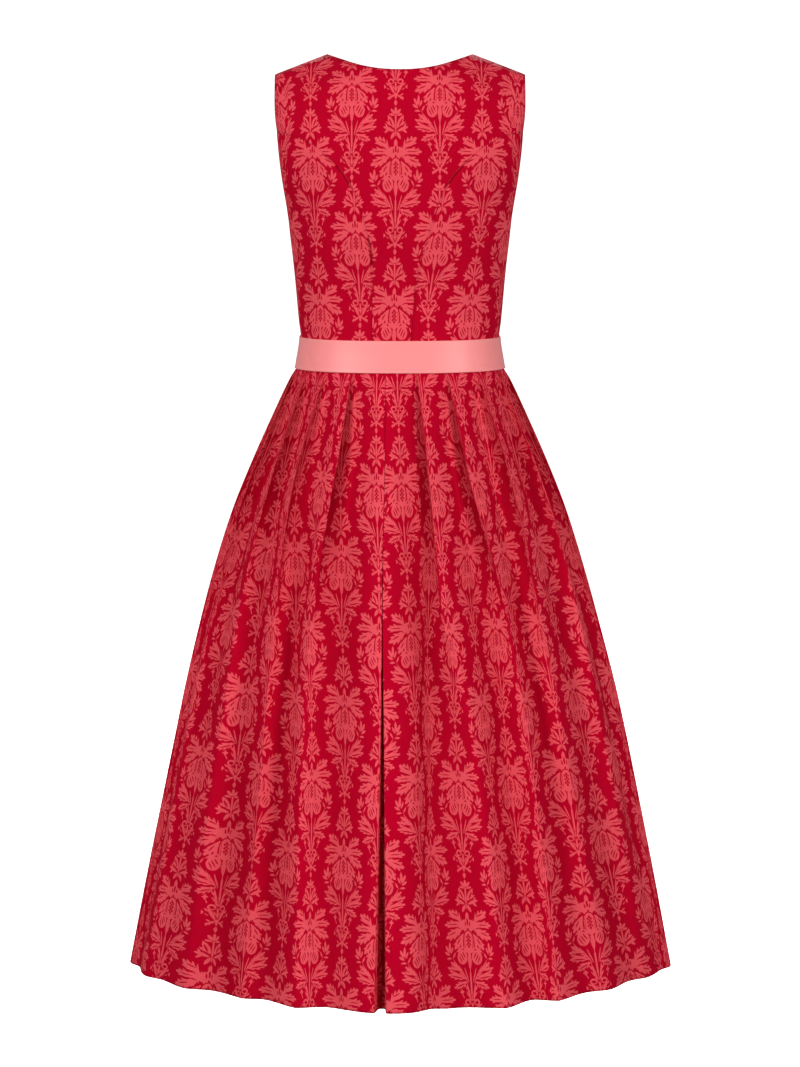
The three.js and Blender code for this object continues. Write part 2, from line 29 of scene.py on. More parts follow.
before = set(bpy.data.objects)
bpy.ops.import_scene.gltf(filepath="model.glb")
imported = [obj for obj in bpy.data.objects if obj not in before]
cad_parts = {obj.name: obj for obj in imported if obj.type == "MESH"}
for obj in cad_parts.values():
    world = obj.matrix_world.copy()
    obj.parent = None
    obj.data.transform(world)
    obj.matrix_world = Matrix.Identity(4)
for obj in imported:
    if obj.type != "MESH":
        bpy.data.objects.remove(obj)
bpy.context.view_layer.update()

MM = 0.001
DEGREE = math.pi / 180

# ---------------------------------------------------------------- sizes

BODICE_WALL = 1.2
SKIRT_WALL = 0.6
RIBBON_WALL = 0.8
RIBBON_OUT = 1.7
# height and reach of the ribbon's rolled lower edge
ROLLED_EDGE = (0.5, 1.7)
# angle, slant in degrees from top to bottom, reach in degrees, depth, middle from the top as a share
RIBBON_CREASES = [
    (-62, 14, 3.2, 0.5, 0.7), (-48, -9, 2.8, 0.35, 0.35), (-22, 16, 4.2, 0.26, 0.6),
    (-4, -11, 3.6, 0.16, 0.3),
    (17, -12, 4.0, 0.24, 0.5), (44, 10, 2.8, 0.35, 0.7), (63, -13, 3.0, 0.45, 0.5), (104, 12, 3.4, 0.45, 0.6),
    (141, -10, 3.6, 0.3, 0.4),
    (-101, -12, 3.0, 0.4, 0.5), (-139, 11, 3.2, 0.3, 0.6), (172, 9, 3.4, 0.25, 0.5),
]
RIBBON_EVENING = 40
RIBBON_ROWS = 32
RIBBON_COLUMNS = 540
CREASE_LENGTH = 0.32
STITCH_LENGTH = 2.3
STITCH_GAP = 0.9
STITCH_HALF = 0.24
STITCH_INSET = 3.6
RIBBON_STITCH_INSET = 2.4
SEAM_DIP = 0.35
SEAM_DIP_REACH = 1.9
# painted shade along the seams and hems of the bodice pieces, and its reach
SEAM_SHADE = 0.12
SEAM_SHADE_REACH = 1.2
# Soft creases of the bodice: 1 for the back and -1 for the front, x and drop at the start and at the end,
# depth, reach
BODICE_CREASES = [
    (1, -44, 354, -41, 262, 1.0, 6), (1, -21, 342, -26, 296, 0.7, 5), (1, 41, 352, 53, 304, 0.8, 6),
    (1, 96, 334, 74, 302, 0.7, 6), (1, -116, 116, -84, 168, 1.1, 9), (1, 110, 122, 87, 171, 0.9, 8),
    (1, -30, 96, 26, 103, 0.5, 10), (-1, 92, 196, 60, 238, 0.9, 8), (-1, -96, 203, -64, 232, 0.8, 9),
    (-1, 30, 346, 37, 288, 0.8, 7), (-1, -24, 348, -42, 304, 0.7, 6), (-1, 78, 344, 66, 312, 0.6, 6),
    (-1, -92, 340, -76, 298, 0.8, 7),
]
CREASE_ENDS = 0.12

UNDERARM_DROP = 188.0
RIBBON_TOP_DROP = 337.5
WAIST_DROP = 357.0
RIBBON_BOTTOM_DROP = 375.5
HEM_DROP = 1114.0

NECK_POINT_X = 87.0
SHOULDER_TIP_X = 150.0
SHOULDER_SLOPE = 0.4
NAPE_ROUNDING = 34.0
SHOULDER_REACH = (60.0, 200.0)
BODICE_SQUARENESS = 2.3

# drop, half width of the bodice
BODICE_WIDTHS = [
    (-40, 166), (22, 166), (78, 163), (112, 156), (145, 148), (174, 139), (188, 135.6),
    (216, 132.4), (259, 127.6), (320, 122.1), (337.5, 120.1), (357, 122.3),
]
# distance below the shoulder line, depth of the back and of the front
BACK_DEPTHS = [
    (0, 0), (1, 7.5), (4, 15), (10, 25), (22, 44), (42, 66),
    (85, 83), (140, 93), (220, 92), (320, 79), (361, 83.5), (381, 85.6),
]
FRONT_DEPTHS = [
    (0, 0), (1, 6), (4, 12), (10, 19), (22, 29), (42, 41), (85, 59),
    (140, 81), (205, 98), (265, 105), (320, 94), (361, 86), (381, 87.6),
]
CUP = {"x": 74.0, "drop": 222.0, "swell": 13.0, "reach_x": 52.0, "reach_drop": 58.0}

# rows and columns of the bodice pieces
LOWER_ROWS = 48
BACK_UPPER_ROWS = 16
FRONT_UPPER_ROWS = 24
BACK_COLUMNS = 60
STRAP_COLUMNS = 12
SIDE_COLUMNS = 30
SHOULDER_POINTS = 8
PATH_STEPS = 40
SHOULDER_EDGE = 0.6
MEETING_REACH = 0.05

# Cut edges: x, drop
BACK_NECK = [
    (-87, 0), (-68, 6.4), (-45, 13.2), (-22, 17), (0, 18), (22, 17), (45, 13.2), (68, 6.4), (87, 0),
]
BACK_SEAM_LEFT = [
    (-33, 357), (-33, 300), (-33.5, 232), (-46, 184), (-59, 150),
    (-77, 127), (-103, 106), (-122, 97.5), (-146.5, 93),
]
BACK_SEAM_RIGHT = [
    (10, 357), (14.5, 312), (20, 262), (36, 204), (55, 153),
    (74, 128.5), (102, 107), (122, 97.5), (146.5, 93),
]
BACK_ARMHOLE_LOWER = [
    (146.5, 93), (144.6, 116), (141.2, 146), (138, 168), (136.2, 181), (135.7, 186.5), (135.6, 188),
]
BACK_ARMHOLE_UPPER = [(146.5, 93), (149.2, 70)]
FRONT_ARMHOLE = [
    (135.6, 188), (135.9, 183), (134.5, 175), (132.6, 160), (129.5, 138), (127.5, 108), (134, 68),
]
FRONT_NECK = [(0, 187), (28, 179), (54, 160), (72, 122), (82, 62), (87, 0)]
# x of the axis that the cloth of each piece is unrolled from, at two drops
AXIS_DROPS = (150, 300)
BODICE_AXES = {
    "back_centre": (-5, -7), "back_side_right": (102, 83), "back_side_left": (-103.5, -95),
    "front_right": (60, 52), "front_left": (-60, -52),
}
CLEAR_OF_SHOULDERS = 105
COMMON_DROP = 200.0

# drop, half width, back depth, front depth, squareness of the skirt section
SKIRT_FORM = [
    (357, 122.7, 86, 88, 2.3), (366, 124.2, 87.4, 89.4, 2.3), (375.5, 125.7, 88.9, 91, 2.3),
    (384, 131, 93, 95, 2.25), (403, 140.8, 100, 103, 2.22), (431, 154, 110, 114, 2.18),
    (489, 180.1, 128, 132, 2.1), (545, 202.2, 143, 147, 2.02), (612, 223.1, 157, 161, 1.95),
    (689, 244.4, 172, 175, 1.88), (778, 267.8, 187, 189, 1.82), (932, 301.3, 211, 211, 1.74),
    (1020, 319.5, 223, 223, 1.7), (1114, 337.9, 236, 236, 1.68),
]

# Fold lines: angle at the five drops, then the height of the fold at the middle and at the hem
PLEAT_LEVELS = (375, 483, 640, 800, 1114)
CENTRE_PLEAT = (-7.7, -5.8, -5.1, -4.3, -3.9, 12, 10)
FRONT_MEETING = (176, 176, 176, 176, 176, 6, 5)
PLEATS_RIGHT = [
    (9.1, 10.5, 11.9, 18.2, 21.3, 15, 22),
    (26.1, 26.4, 31.6, 33, 33.5, 14, 17),
    (46.3, 45.7, 43.8, 44.6, 48.6, 11, 6),
    (66.7, 65.2, 63, 62, 63, 9, 5),
    (84, 83, 81, 80, 79, 8, 6),
    (101, 101, 100, 99, 98, 9, 8),
    (119, 118, 117, 117, 116, 10, 11),
    (137, 136, 136, 135, 134, 11, 13),
    (156, 155, 154, 153, 152, 11, 12),
]
PLEATS_LEFT = [
    (-26.4, -24.9, -25.6, -24.4, -21, 14, 17),
    (-44.4, -43.1, -38.5, -36, -34.5, 12, 11),
    (-60.5, -56.5, -53.5, -51, -50, 10, 8),
    (-78, -75, -71, -68, -66, 8, 6),
    (-96, -94, -90, -86, -83, 8, 6),
    (-113, -111, -108, -104, -101, 9, 8),
    (-131, -129, -126, -123, -120, 10, 11),
    (-149, -147, -145, -142, -140, 11, 13),
    (-167, -166, -164, -162, -161, 9, 10),
]
# drop, height of every fold above the middle of the skirt
UPPER_HEIGHTS = [(375, 0.5), (384, 2.4), (398, 9), (440, 15), (483, 18)]
MIDDLE_DROP = 640
MIDDLE_GAIN = 1.6
LOWER_DROP = 880
LOWER_GAIN = 1.5
# steps across the slope and the flank of a pleat, and distances between the rows above and below a drop
SLOPE_STEPS = 22
STEP_STEPS = 11
CHANGE_DROP = 450.0
UPPER_SPACING = 2.4
LOWER_SPACING = 3.6
# side cuts of the skirt quarters: pleat and share of its slope
SIDE_CUT_RIGHT = (4, 0.83)
SIDE_CUT_LEFT = (4, 0.55)
# drop, share of each pleat that its flank takes
STEP_SHARE = [(357, 0.05), (400, 0.14), (440, 0.24), (483, 0.3), (560, 0.33), (800, 0.36), (1114, 0.4)]
# drop, how far the cloth runs in under each fold edge
UNDERCUT = [(357, 0.2), (378, 0.8), (396, 3.0), (483, 3.6), (600, 2.8), (740, 0)]
ROUNDING = (470.0, 760.0)
ROUNDNESS = 0.55
FLANK_STEEPNESS = 1.9
SLOPE_CURVE = 1.25
TUCK_CURVE = 2.2
# drop, width and depth of the channel between the two fold edges at the centre back
CHANNEL = [(357, 0.5, 0.8), (483, 0.6, 1.6), (640, 0.9, 4), (800, 4.2, 12), (1114, 14.5, 20)]
# share of its half width, share of its depth
CHANNEL_PROFILE = [(0, 1), (0.45, 1), (0.6, 0.8), (0.72, 0.5), (0.86, 0.2), (1, 0)]
# drop, how dark the painted shade in the hollow beside each fold edge is
PAINTED_HOLLOWS = [(357, 1), (560, 0.85), (700, 0.4), (900, 0.2), (1114, 0.17)]
# where the painted shade rises and falls across a flank, and where it rises and the painted highlight falls
# across a slope
SHADE_RISE = (0.05, 0.5)
SHADE_CURVE = 1.2
SHADE_FALL = (0.9, 1)
SLOPE_SHADE = 0.05
SLOPE_SHADE_REACH = (0.35, 1)
PAINTED_HIGHLIGHT_REACH = (0.05, 0.5)
# painted highlight on the ridges and its curve on rounded pleats; curve of the painted shade in rounded
# hollows, and the fold height at which that shade is full
RIDGE_PAINTED_HIGHLIGHT = 0.18
RIDGE_CURVE = 3
HOLLOW_CURVE = 2.6
FULL_HOLLOW = 13.0
# at the sides the flanks face the light more: share of the painted shade that goes, and between which sines
SIDE_LIGHT = 0.4
SIDE_REACH = (0.35, 0.9)
# painted shade deep in the centre channel, and in the soft folds for each millimetre of their depth
CHANNEL_SHADE = 0.2
SOFT_FOLD_SHADE = 0.028
# painted shade in red, green and blue: redder, as folds of red cloth throw red light on each other
PAINTED_HOLLOW_DARKNESS = (0.48, 0.72, 0.67)
# angle at the start and at the hem, drop where it starts and where it is full, depth, reach in degrees
SOFT_FOLDS = [
    (7.6, 6.6, 560, 760, 8, 2.6),
    (-40, -38, 640, 980, 9, 9),
    (47, 58, 700, 1000, 6, 8),
    (90, 94, 610, 900, 6, 6),
    (127, 124, 720, 1010, 5, 5),
    (-87, -80, 560, 860, 6, 7),
    (-155, -151, 650, 960, 5, 5),
]

# Columns of the damask on the skirt, half a repeat apart: angle at the five drops
COLUMNS_RIGHT = [
    (-1.5, 0.2, 2.7, 4.2, 5.2),
    (8.7, 10.0, 8.6, 7.7, 7.3),
    (10.6, 12.1, 13.6, 14.3, 15.2),
    (25.4, 25.6, 22.4, 22.2, 22),
    (29.5, 30, 28.7, 28.7, 30.4),
    (45.2, 41, 34.4, 33, 33.6),
    (49.3, 47.5, 43.3, 44, 46),
    (65.8, 60, 51.8, 55.5, 58.5),
    (70, 67.5, 65, 67.5, 74),
]
COLUMNS_LEFT = [
    (-12.5, -9.2, -6, -4.9, -4.9),
    (-25.6, -22.9, -18.5, -14.2, -12.1),
    (-31, -31, -27.2, -22.4, -18.5),
    (-43.4, -41.6, -34.5, -27.2, -25.6),
    (-49, -45.2, -40, -36.4, -34.9),
    (-59.5, -54.6, -48.2, -46.4, -44.6),
    (-64.5, -62, -60.8, -61, -62),
    (-77, -73.6, -69.5, -70.5, -74),
]
# columns past the tables, in front: places between two fold lines where the folds are shut and open
OPENING = (420, 1000)
HIDDEN_COLUMNS = [(0.3, 0.42), (0.93, 0.92)]
# how far a fold line takes up cloth, shut and open, and the cloth taken up away from all folds
FOLD_SOFTNESS = (2.0, 9.0)
SOFTENING = (450, 1000)
UNFOLDED = 0.05
# one more line on each side that takes up cloth: its angle at a drop and at the hem
TUCK_DROP = 560
TUCK_RIGHT = (7.6, 6.6)
TUCK_LEFT = (-29.5, -29)
REPEAT_ACROSS = 104.0
REPEAT_DOWN = 176.0
HALF_REPEAT = REPEAT_ACROSS / 2
SKIRT_PHASE = 90.0
BODICE_PHASE = 147.0


# ---------------------------------------------------------------- curves and sections

def smoothstep(value, low, high):
    t = np.clip((np.asarray(value, float) - low) / (high - low), 0, 1)
    return t * t * (3 - 2 * t)


def lerp(a, b, t):
    return a + (b - a) * t


def through(rows, column=1):
    """A smooth curve through the first column and another one of a table, with no overshoot."""
    at = np.array([row[0] for row in rows], float)
    values = np.array([row[column] for row in rows], float)
    slopes = np.diff(values) / np.diff(at)
    tangents = np.concatenate([slopes[:1], np.zeros(len(at) - 2), slopes[-1:]])
    product = slopes[:-1] * slopes[1:]
    total = slopes[:-1] + slopes[1:]
    tangents[1:-1] = np.where(product > 0, 2 * product / np.where(product > 0, total, 1), 0)

    def curve(x):
        x = np.clip(np.asarray(x, float), at[0], at[-1])
        i = np.clip(np.searchsorted(at, x, side="left") - 1, 0, len(at) - 2)
        span = at[i + 1] - at[i]
        t = (x - at[i]) / span
        t2, t3 = t * t, t * t * t
        return (values[i] * (2 * t3 - 3 * t2 + 1) + values[i + 1] * (3 * t2 - 2 * t3)
                + span * (tangents[i] * (t3 - 2 * t2 + t) + tangents[i + 1] * (t3 - t2)))

    return curve


def section(angle, half, back, front, squareness):
    sine = np.sin(angle * DEGREE)
    rest = np.maximum(0, 1 - np.abs(sine) ** squareness) ** (1 / squareness)
    return half * sine, np.where(np.cos(angle * DEGREE) > 0, -back * rest, front * rest)


def shoulder_drop(x):
    return SHOULDER_SLOPE * (np.hypot(x, NAPE_ROUNDING) - math.hypot(NECK_POINT_X, NAPE_ROUNDING))


bodice_half = through(BODICE_WIDTHS)
back_depth = through([(math.sqrt(row[0]), row[1]) for row in BACK_DEPTHS])
front_depth = through([(math.sqrt(row[0]), row[1]) for row in FRONT_DEPTHS])


def torso_point(angle, drop):
    half = bodice_half(drop)
    x = half * np.sin(angle * DEGREE)
    reach = 1 - smoothstep(drop, *SHOULDER_REACH)
    root = np.sqrt(np.maximum(0, drop - shoulder_drop(x * reach)))
    x, y = section(angle, half, back_depth(root), front_depth(root), BODICE_SQUARENESS)
    across = (np.abs(x) - CUP["x"]) / CUP["reach_x"]
    down = (drop - CUP["drop"]) / CUP["reach_drop"]
    swell = CUP["swell"] * np.exp(-across ** 2 - down ** 2) * np.clip(y / CUP["x"], 0, 1)
    return np.stack([x, y + swell, -np.broadcast_to(drop, x.shape)], axis=-1)


skirt_half = through(SKIRT_FORM, 1)
skirt_back = through(SKIRT_FORM, 2)
skirt_front = through(SKIRT_FORM, 3)
skirt_squareness = through(SKIRT_FORM, 4)
step_share = through(STEP_SHARE)
channel_width = through(CHANNEL, 1)
channel_depth = through(CHANNEL, 2)
undercut = through(UNDERCUT)
painted_hollow_shade = through(PAINTED_HOLLOWS)


def form_point(angle, drop):
    return section(angle, skirt_half(drop), skirt_back(drop), skirt_front(drop), skirt_squareness(drop))


def form_point_out(angle, drop, out):
    """Points on the skirt section moved straight out."""
    nudge = 0.25
    x, y = form_point(angle, drop)
    ahead_x, ahead_y = form_point(angle + nudge, drop)
    astern_x, astern_y = form_point(angle - nudge, drop)
    along_x, along_y = ahead_x - astern_x, ahead_y - astern_y
    length = np.hypot(along_x, along_y)
    return np.stack([x + along_y / length * out, y - along_x / length * out,
                     -np.broadcast_to(drop, x.shape)], axis=-1)


# ---------------------------------------------------------------- meshes

def unit(vectors):
    return vectors / np.maximum(np.linalg.norm(vectors, axis=-1, keepdims=True), 1e-9)


def grid_normals(points, closed_across=False):
    """Outward normals of a grid whose rows run up and whose columns run to the wearer's right."""
    if closed_across:
        across = np.roll(points, -1, 1) - np.roll(points, 1, 1)
    else:
        across = np.gradient(points, axis=1)
    return unit(np.cross(across, np.gradient(points, axis=0)))


def add_object(name, data):
    obj = bpy.data.objects.new(name, data)
    bpy.context.scene.collection.objects.link(obj)
    return obj


def wall_mesh(name, outer, inner, cloth, closed_across, materials):
    """A closed wall between two grids of points in millimetres, as one object. cloth holds each point's
    place in the cloth and its painted shade. The outside takes the first material and the inside
    the second."""
    rows, columns = outer.shape[:2]
    count = rows * columns
    points = np.concatenate([outer.reshape(-1, 3), inner.reshape(-1, 3)]) * MM
    index = np.arange(count).reshape(rows, columns)
    right = np.roll(index, -1, 1) if closed_across else index[:, 1:]
    left = index if closed_across else index[:, :-1]
    a, b, c, d = left[:-1], right[:-1], right[1:], left[1:]
    front = np.stack([a, b, c, d], -1).reshape(-1, 4)
    back = np.stack([a, d, c, b], -1).reshape(-1, 4) + count
    rims = [
        np.stack([left[0], left[0] + count, right[0] + count, right[0]], -1),
        np.stack([left[-1], right[-1], right[-1] + count, left[-1] + count], -1),
    ]
    if not closed_across:
        low, high = index[:-1], index[1:]
        rims.append(np.stack([low[:, 0], high[:, 0], high[:, 0] + count, low[:, 0] + count], -1))
        rims.append(np.stack([low[:, -1], low[:, -1] + count, high[:, -1] + count, high[:, -1]], -1))
    faces = np.concatenate([front, back] + rims)
    sides = np.zeros(len(faces), np.int32)
    sides[len(front):len(front) + len(back)] = 1
    mesh = bpy.data.meshes.new(name)
    mesh.vertices.add(len(points))
    mesh.vertices.foreach_set("co", points.astype(np.float32).ravel())
    mesh.loops.add(faces.size)
    mesh.loops.foreach_set("vertex_index", faces.astype(np.int32).ravel())
    mesh.polygons.add(len(faces))
    mesh.polygons.foreach_set("loop_start", np.arange(0, faces.size, 4, dtype=np.int32))
    mesh.polygons.foreach_set("material_index", sides)
    mesh.update(calc_edges=True)
    mesh.validate()
    mesh.shade_smooth()
    attribute = mesh.attributes.new("cloth", "FLOAT_VECTOR", "POINT")
    values = np.concatenate([cloth.reshape(-1, 3)] * 2)
    attribute.data.foreach_set("vector", values.astype(np.float32).ravel())
    for material in materials:
        mesh.materials.append(material)
    return add_object(name, mesh)


def inset_line(border, beside, normals, inset):
    """A line that runs along a border on the cloth, a given distance inside it, with its normals."""
    along = unit(np.gradient(border, axis=0))
    inward = beside - border
    inward = inward - along * (inward * along).sum(-1, keepdims=True)
    inward = unit(inward - normals * (inward * normals).sum(-1, keepdims=True))
    return border + inward * inset, normals


def stitches_mesh(name, lines, material):
    """Small pointed stitches laid along lines on the cloth, joined in one mesh."""
    points = []
    for line_, normals in lines:
        length = np.concatenate([[0], np.cumsum(np.linalg.norm(np.diff(line_, axis=0), axis=-1))])
        count = max(1, int(length[-1] / (STITCH_LENGTH + STITCH_GAP)))
        for at in (np.arange(count) + 0.5) * length[-1] / count:
            start, end = (np.array([np.interp(place, length, line_[:, axis]) for axis in range(3)])
                          for place in (at - STITCH_LENGTH / 2, at + STITCH_LENGTH / 2))
            normal = unit(np.array([np.interp(at, length, normals[:, axis]) for axis in range(3)]))
            side = unit(np.cross(end - start, normal))
            middle = (start + end) / 2
            points += [start, *(middle + way * STITCH_HALF for way in (side, normal, -side, -normal)), end]
    faces = []
    for first in range(0, len(points), 6):
        for a, b in ((1, 2), (2, 3), (3, 4), (4, 1)):
            faces.append((first, first + b, first + a))
            faces.append((first + 5, first + a, first + b))
    mesh = bpy.data.meshes.new(name)
    mesh.from_pydata((np.array(points) * MM).tolist(), [], faces)
    mesh.shade_smooth()
    mesh.materials.append(material)
    return add_object(name, mesh)


# ---------------------------------------------------------------- bodice

def edge(rows, face, count):
    """Evenly spaced points of a smooth line through x, drop rows, as angle and drop."""
    points = np.array(rows, float)
    padded = np.concatenate([[2 * points[0] - points[1]], points, [2 * points[-1] - points[-2]]])
    fine = []
    for p0, p1, p2, p3 in zip(padded, padded[1:], padded[2:], padded[3:]):
        d0, d1, d2 = (math.sqrt(max(np.linalg.norm(q - p), 1e-6)) for p, q in ((p0, p1), (p1, p2), (p2, p3)))
        m1 = ((p1 - p0) / d0 - (p2 - p0) / (d0 + d1) + (p2 - p1) / d1) * d1
        m2 = ((p2 - p1) / d1 - (p3 - p1) / (d1 + d2) + (p3 - p2) / d2) * d1
        t = np.linspace(0, 1, PATH_STEPS, endpoint=False)[:, None]
        t2, t3 = t ** 2, t ** 3
        fine.append(p1 + m1 * t + (-3 * p1 + 3 * p2 - 2 * m1 - m2) * t2 + (2 * p1 - 2 * p2 + m1 + m2) * t3)
    fine = np.concatenate(fine + [points[-1:]])
    length = np.concatenate([[0], np.cumsum(np.linalg.norm(np.diff(fine, axis=0), axis=1))])
    at = np.linspace(0, length[-1], count + 1)
    x, drop = np.interp(at, length, fine[:, 0]), np.interp(at, length, fine[:, 1])
    return np.stack([lean(x, bodice_half(drop), 180 if face == "front" else 0), drop], -1)


def shoulder_seam(face, count):
    x = np.linspace(NECK_POINT_X, SHOULDER_TIP_X, SHOULDER_POINTS)
    return edge(list(zip(x, shoulder_drop(x))), face, count)


def line(start, end, count):
    return np.linspace(start, end, count + 1)


def mirrored(points):
    return points * [-1, 1]


def fill(bottom, top, left, right):
    """Fills the space between four edges that meet at their ends. Returns angles and drops."""
    v = np.linspace(0, 1, len(left))[:, None, None]
    u = np.linspace(0, 1, len(bottom))[None, :, None]
    corners = ((1 - v) * ((1 - u) * bottom[0] + u * bottom[-1]) + v * ((1 - u) * top[0] + u * top[-1]))
    return (1 - u) * left[:, None] + u * right[:, None] + (1 - v) * bottom[None] + v * top[None] - corners


def relaxed(net, rounds=400):
    """Evens out the inside of a grid between its fixed edges, so that it nowhere folds over."""
    for _ in range(rounds):
        net[1:-1, 1:-1] = 0.25 * (net[2:, 1:-1] + net[:-2, 1:-1] + net[1:-1, 2:] + net[1:-1, :-2])
    return net


def bodice_creases(angles, points):
    """Depth of the soft creases at points on the bodice."""
    depth = np.zeros_like(angles)
    x, drop = points[..., 0], -points[..., 2]
    for face, x0, drop0, x1, drop1, deep, reach in BODICE_CREASES:
        run_x, run_drop = x1 - x0, drop1 - drop0
        share = np.clip(((x - x0) * run_x + (drop - drop0) * run_drop) / (run_x ** 2 + run_drop ** 2), 0, 1)
        aside = np.hypot(x - x0 - run_x * share, drop - drop0 - run_drop * share)
        swell = np.sin(math.pi * lerp(CREASE_ENDS, 1 - CREASE_ENDS, share))
        depth = depth + (np.cos(angles * DEGREE) * face > 0) * deep * swell * np.exp(-(aside / reach) ** 2)
    return depth


def lean(x, half, angles):
    """Angle at which a section of this half width reaches x, on the face and side of the given angles."""
    back = np.arcsin(np.clip(x / half, -1, 1)) / DEGREE
    return np.where(np.abs(angles) > 90, np.sign(angles) * 180 - back, back)


def path_length(path):
    return np.linalg.norm(np.diff(path, axis=-2), axis=-1).sum(-1)


def bodice_cloth(points, angles, axis):
    """Place in the cloth of points on the bodice: unrolled from an axis given as x at two drops."""
    x, drop = points[..., 0], -points[..., 2]
    steps = np.linspace(0, 1, PATH_STEPS)
    # across: length of the section between the axis and the point, at a height clear of the shoulders
    level = np.maximum(drop, CLEAR_OF_SHOULDERS)
    half = bodice_half(level)
    start, end = lean(np.interp(drop, AXIS_DROPS, axis), half, angles), lean(x, half, angles)
    walk = start[..., None] + (end - start)[..., None] * steps
    path = torso_point(walk, np.broadcast_to(level[..., None], walk.shape))
    across = path_length(path) * np.sign(end - start)
    # down: length along the cloth at the same x, from a common level
    fall = COMMON_DROP + (drop - COMMON_DROP)[..., None] * steps
    path = torso_point(lean(x[..., None], bodice_half(fall), angles[..., None]), fall)
    down = path_length(path) * np.sign(drop - COMMON_DROP)
    return np.stack([across / REPEAT_ACROSS, (down + BODICE_PHASE) / REPEAT_DOWN, np.zeros_like(across)], -1)


def bodice_nets():
    """Angles and drops of the points of each bodice piece."""
    tip = [(SHOULDER_TIP_X, float(shoulder_drop(SHOULDER_TIP_X)))]
    seam_right = edge(BACK_SEAM_RIGHT, "back", LOWER_ROWS)
    seam_left = edge(BACK_SEAM_LEFT, "back", LOWER_ROWS)
    side_seam = line([90, WAIST_DROP], [90, UNDERARM_DROP], LOWER_ROWS)
    upper_edge = edge(BACK_ARMHOLE_UPPER + tip, "back", BACK_UPPER_ROWS)[1:]
    strap = shoulder_seam("back", STRAP_COLUMNS)
    neck = edge(BACK_NECK, "back", BACK_COLUMNS - 2 * STRAP_COLUMNS)
    armhole = edge(BACK_ARMHOLE_LOWER, "back", SIDE_COLUMNS)
    armhole[-1] = side_seam[-1]
    front_armhole = edge(FRONT_ARMHOLE + tip, "front", FRONT_UPPER_ROWS)
    front_armhole[0] = side_seam[-1]
    neckline = edge(FRONT_NECK, "front", FRONT_UPPER_ROWS)
    opening = line([180, WAIST_DROP], neckline[0], LOWER_ROWS)
    front = fill(
        line(side_seam[0], opening[0], SIDE_COLUMNS), shoulder_seam("front", SIDE_COLUMNS)[::-1],
        np.concatenate([side_seam, front_armhole[1:]]), np.concatenate([opening, neckline[1:]]))
    return {
        "back_centre": fill(
            line(seam_left[0], seam_right[0], BACK_COLUMNS),
            np.concatenate([mirrored(strap)[::-1], neck[1:-1], strap]),
            np.concatenate([seam_left, mirrored(upper_edge)]), np.concatenate([seam_right, upper_edge])),
        "back_side_right": fill(
            line(seam_right[0], side_seam[0], SIDE_COLUMNS), armhole, seam_right, side_seam),
        "back_side_left": fill(
            line(mirrored(side_seam)[0], seam_left[0], SIDE_COLUMNS), mirrored(armhole)[::-1],
            mirrored(side_seam), seam_left),
        "front_right": front,
        "front_left": mirrored(front)[:, ::-1],
    }


def make_bodice(materials):
    made = {}
    stitched = []
    for name, net in bodice_nets().items():
        angles, drops = np.moveaxis(relaxed(net), -1, 0)
        points = torso_point(angles, drops)
        x = points[..., 0]
        cloth = bodice_cloth(points, angles, BODICE_AXES[name])
        normals = grid_normals(points)
        up = np.stack([np.sign(x) * SHOULDER_SLOPE, np.zeros_like(x), np.ones_like(x)], -1)
        at_shoulder = drops < shoulder_drop(x) + SHOULDER_EDGE
        normals = np.where(at_shoulder[..., None], unit(up), normals)
        # the two fronts meet flush along the centre front
        meeting = (np.abs(angles) > 180 - MEETING_REACH) & (np.abs(x) < MEETING_REACH)
        normals[..., 0] = np.where(meeting, 0, normals[..., 0])
        # every piece has seams or hems along its two sides
        to_side = np.minimum(np.linalg.norm(points - points[:, :1], axis=-1),
                             np.linalg.norm(points - points[:, -1:], axis=-1))
        # painted shade along the seams and hems
        cloth[..., 2] = SEAM_SHADE * np.exp(-(to_side / SEAM_SHADE_REACH) ** 2)
        dip = SEAM_DIP * np.exp(-(to_side / SEAM_DIP_REACH) ** 2) + bodice_creases(angles, points)
        points = points - normals * dip[..., None]
        inner = points - normals * BODICE_WALL
        made[name] = wall_mesh("cloth_" + name, points, inner, cloth, False, materials)
        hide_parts(name)
        # armhole edges: the top of a side panel, or the upper ends of the other panels' sides
        if name.startswith("back_side"):
            stitched.append(inset_line(points[-1], points[-2], normals[-1], STITCH_INSET))
        for border, beside, panels in ((-1, -2, ("back_centre", "front_left")),
                                       (0, 1, ("back_centre", "front_right"))):
            if name in panels:
                stitched.append(inset_line(points[LOWER_ROWS:, border], points[LOWER_ROWS:, beside],
                                           normals[LOWER_ROWS:, border], STITCH_INSET))
    return made, stitched


# ---------------------------------------------------------------- skirt

def at_levels(row):
    """A smooth curve of angle over drop, from the angles at the five levels."""
    return through(list(zip(PLEAT_LEVELS, row[:5])))


def fold_line(row, drop):
    middle, hem = row[5:]
    height = through(UPPER_HEIGHTS + [
        (MIDDLE_DROP, MIDDLE_GAIN * middle), (LOWER_DROP, LOWER_GAIN * (middle + hem) / 2), (HEM_DROP, hem)])
    return at_levels(row)(drop), height(drop)


def soft_fold_depth(angle, drop):
    depth = np.zeros(np.broadcast(angle, drop).shape)
    for start, hem, begin, full, deep, reach in SOFT_FOLDS:
        at = lerp(start, hem, np.clip((drop - begin) / (HEM_DROP - begin), None, 1))
        depth = depth + deep * smoothstep(drop, begin, full) * np.exp(-((angle - at) / reach) ** 2)
    return depth


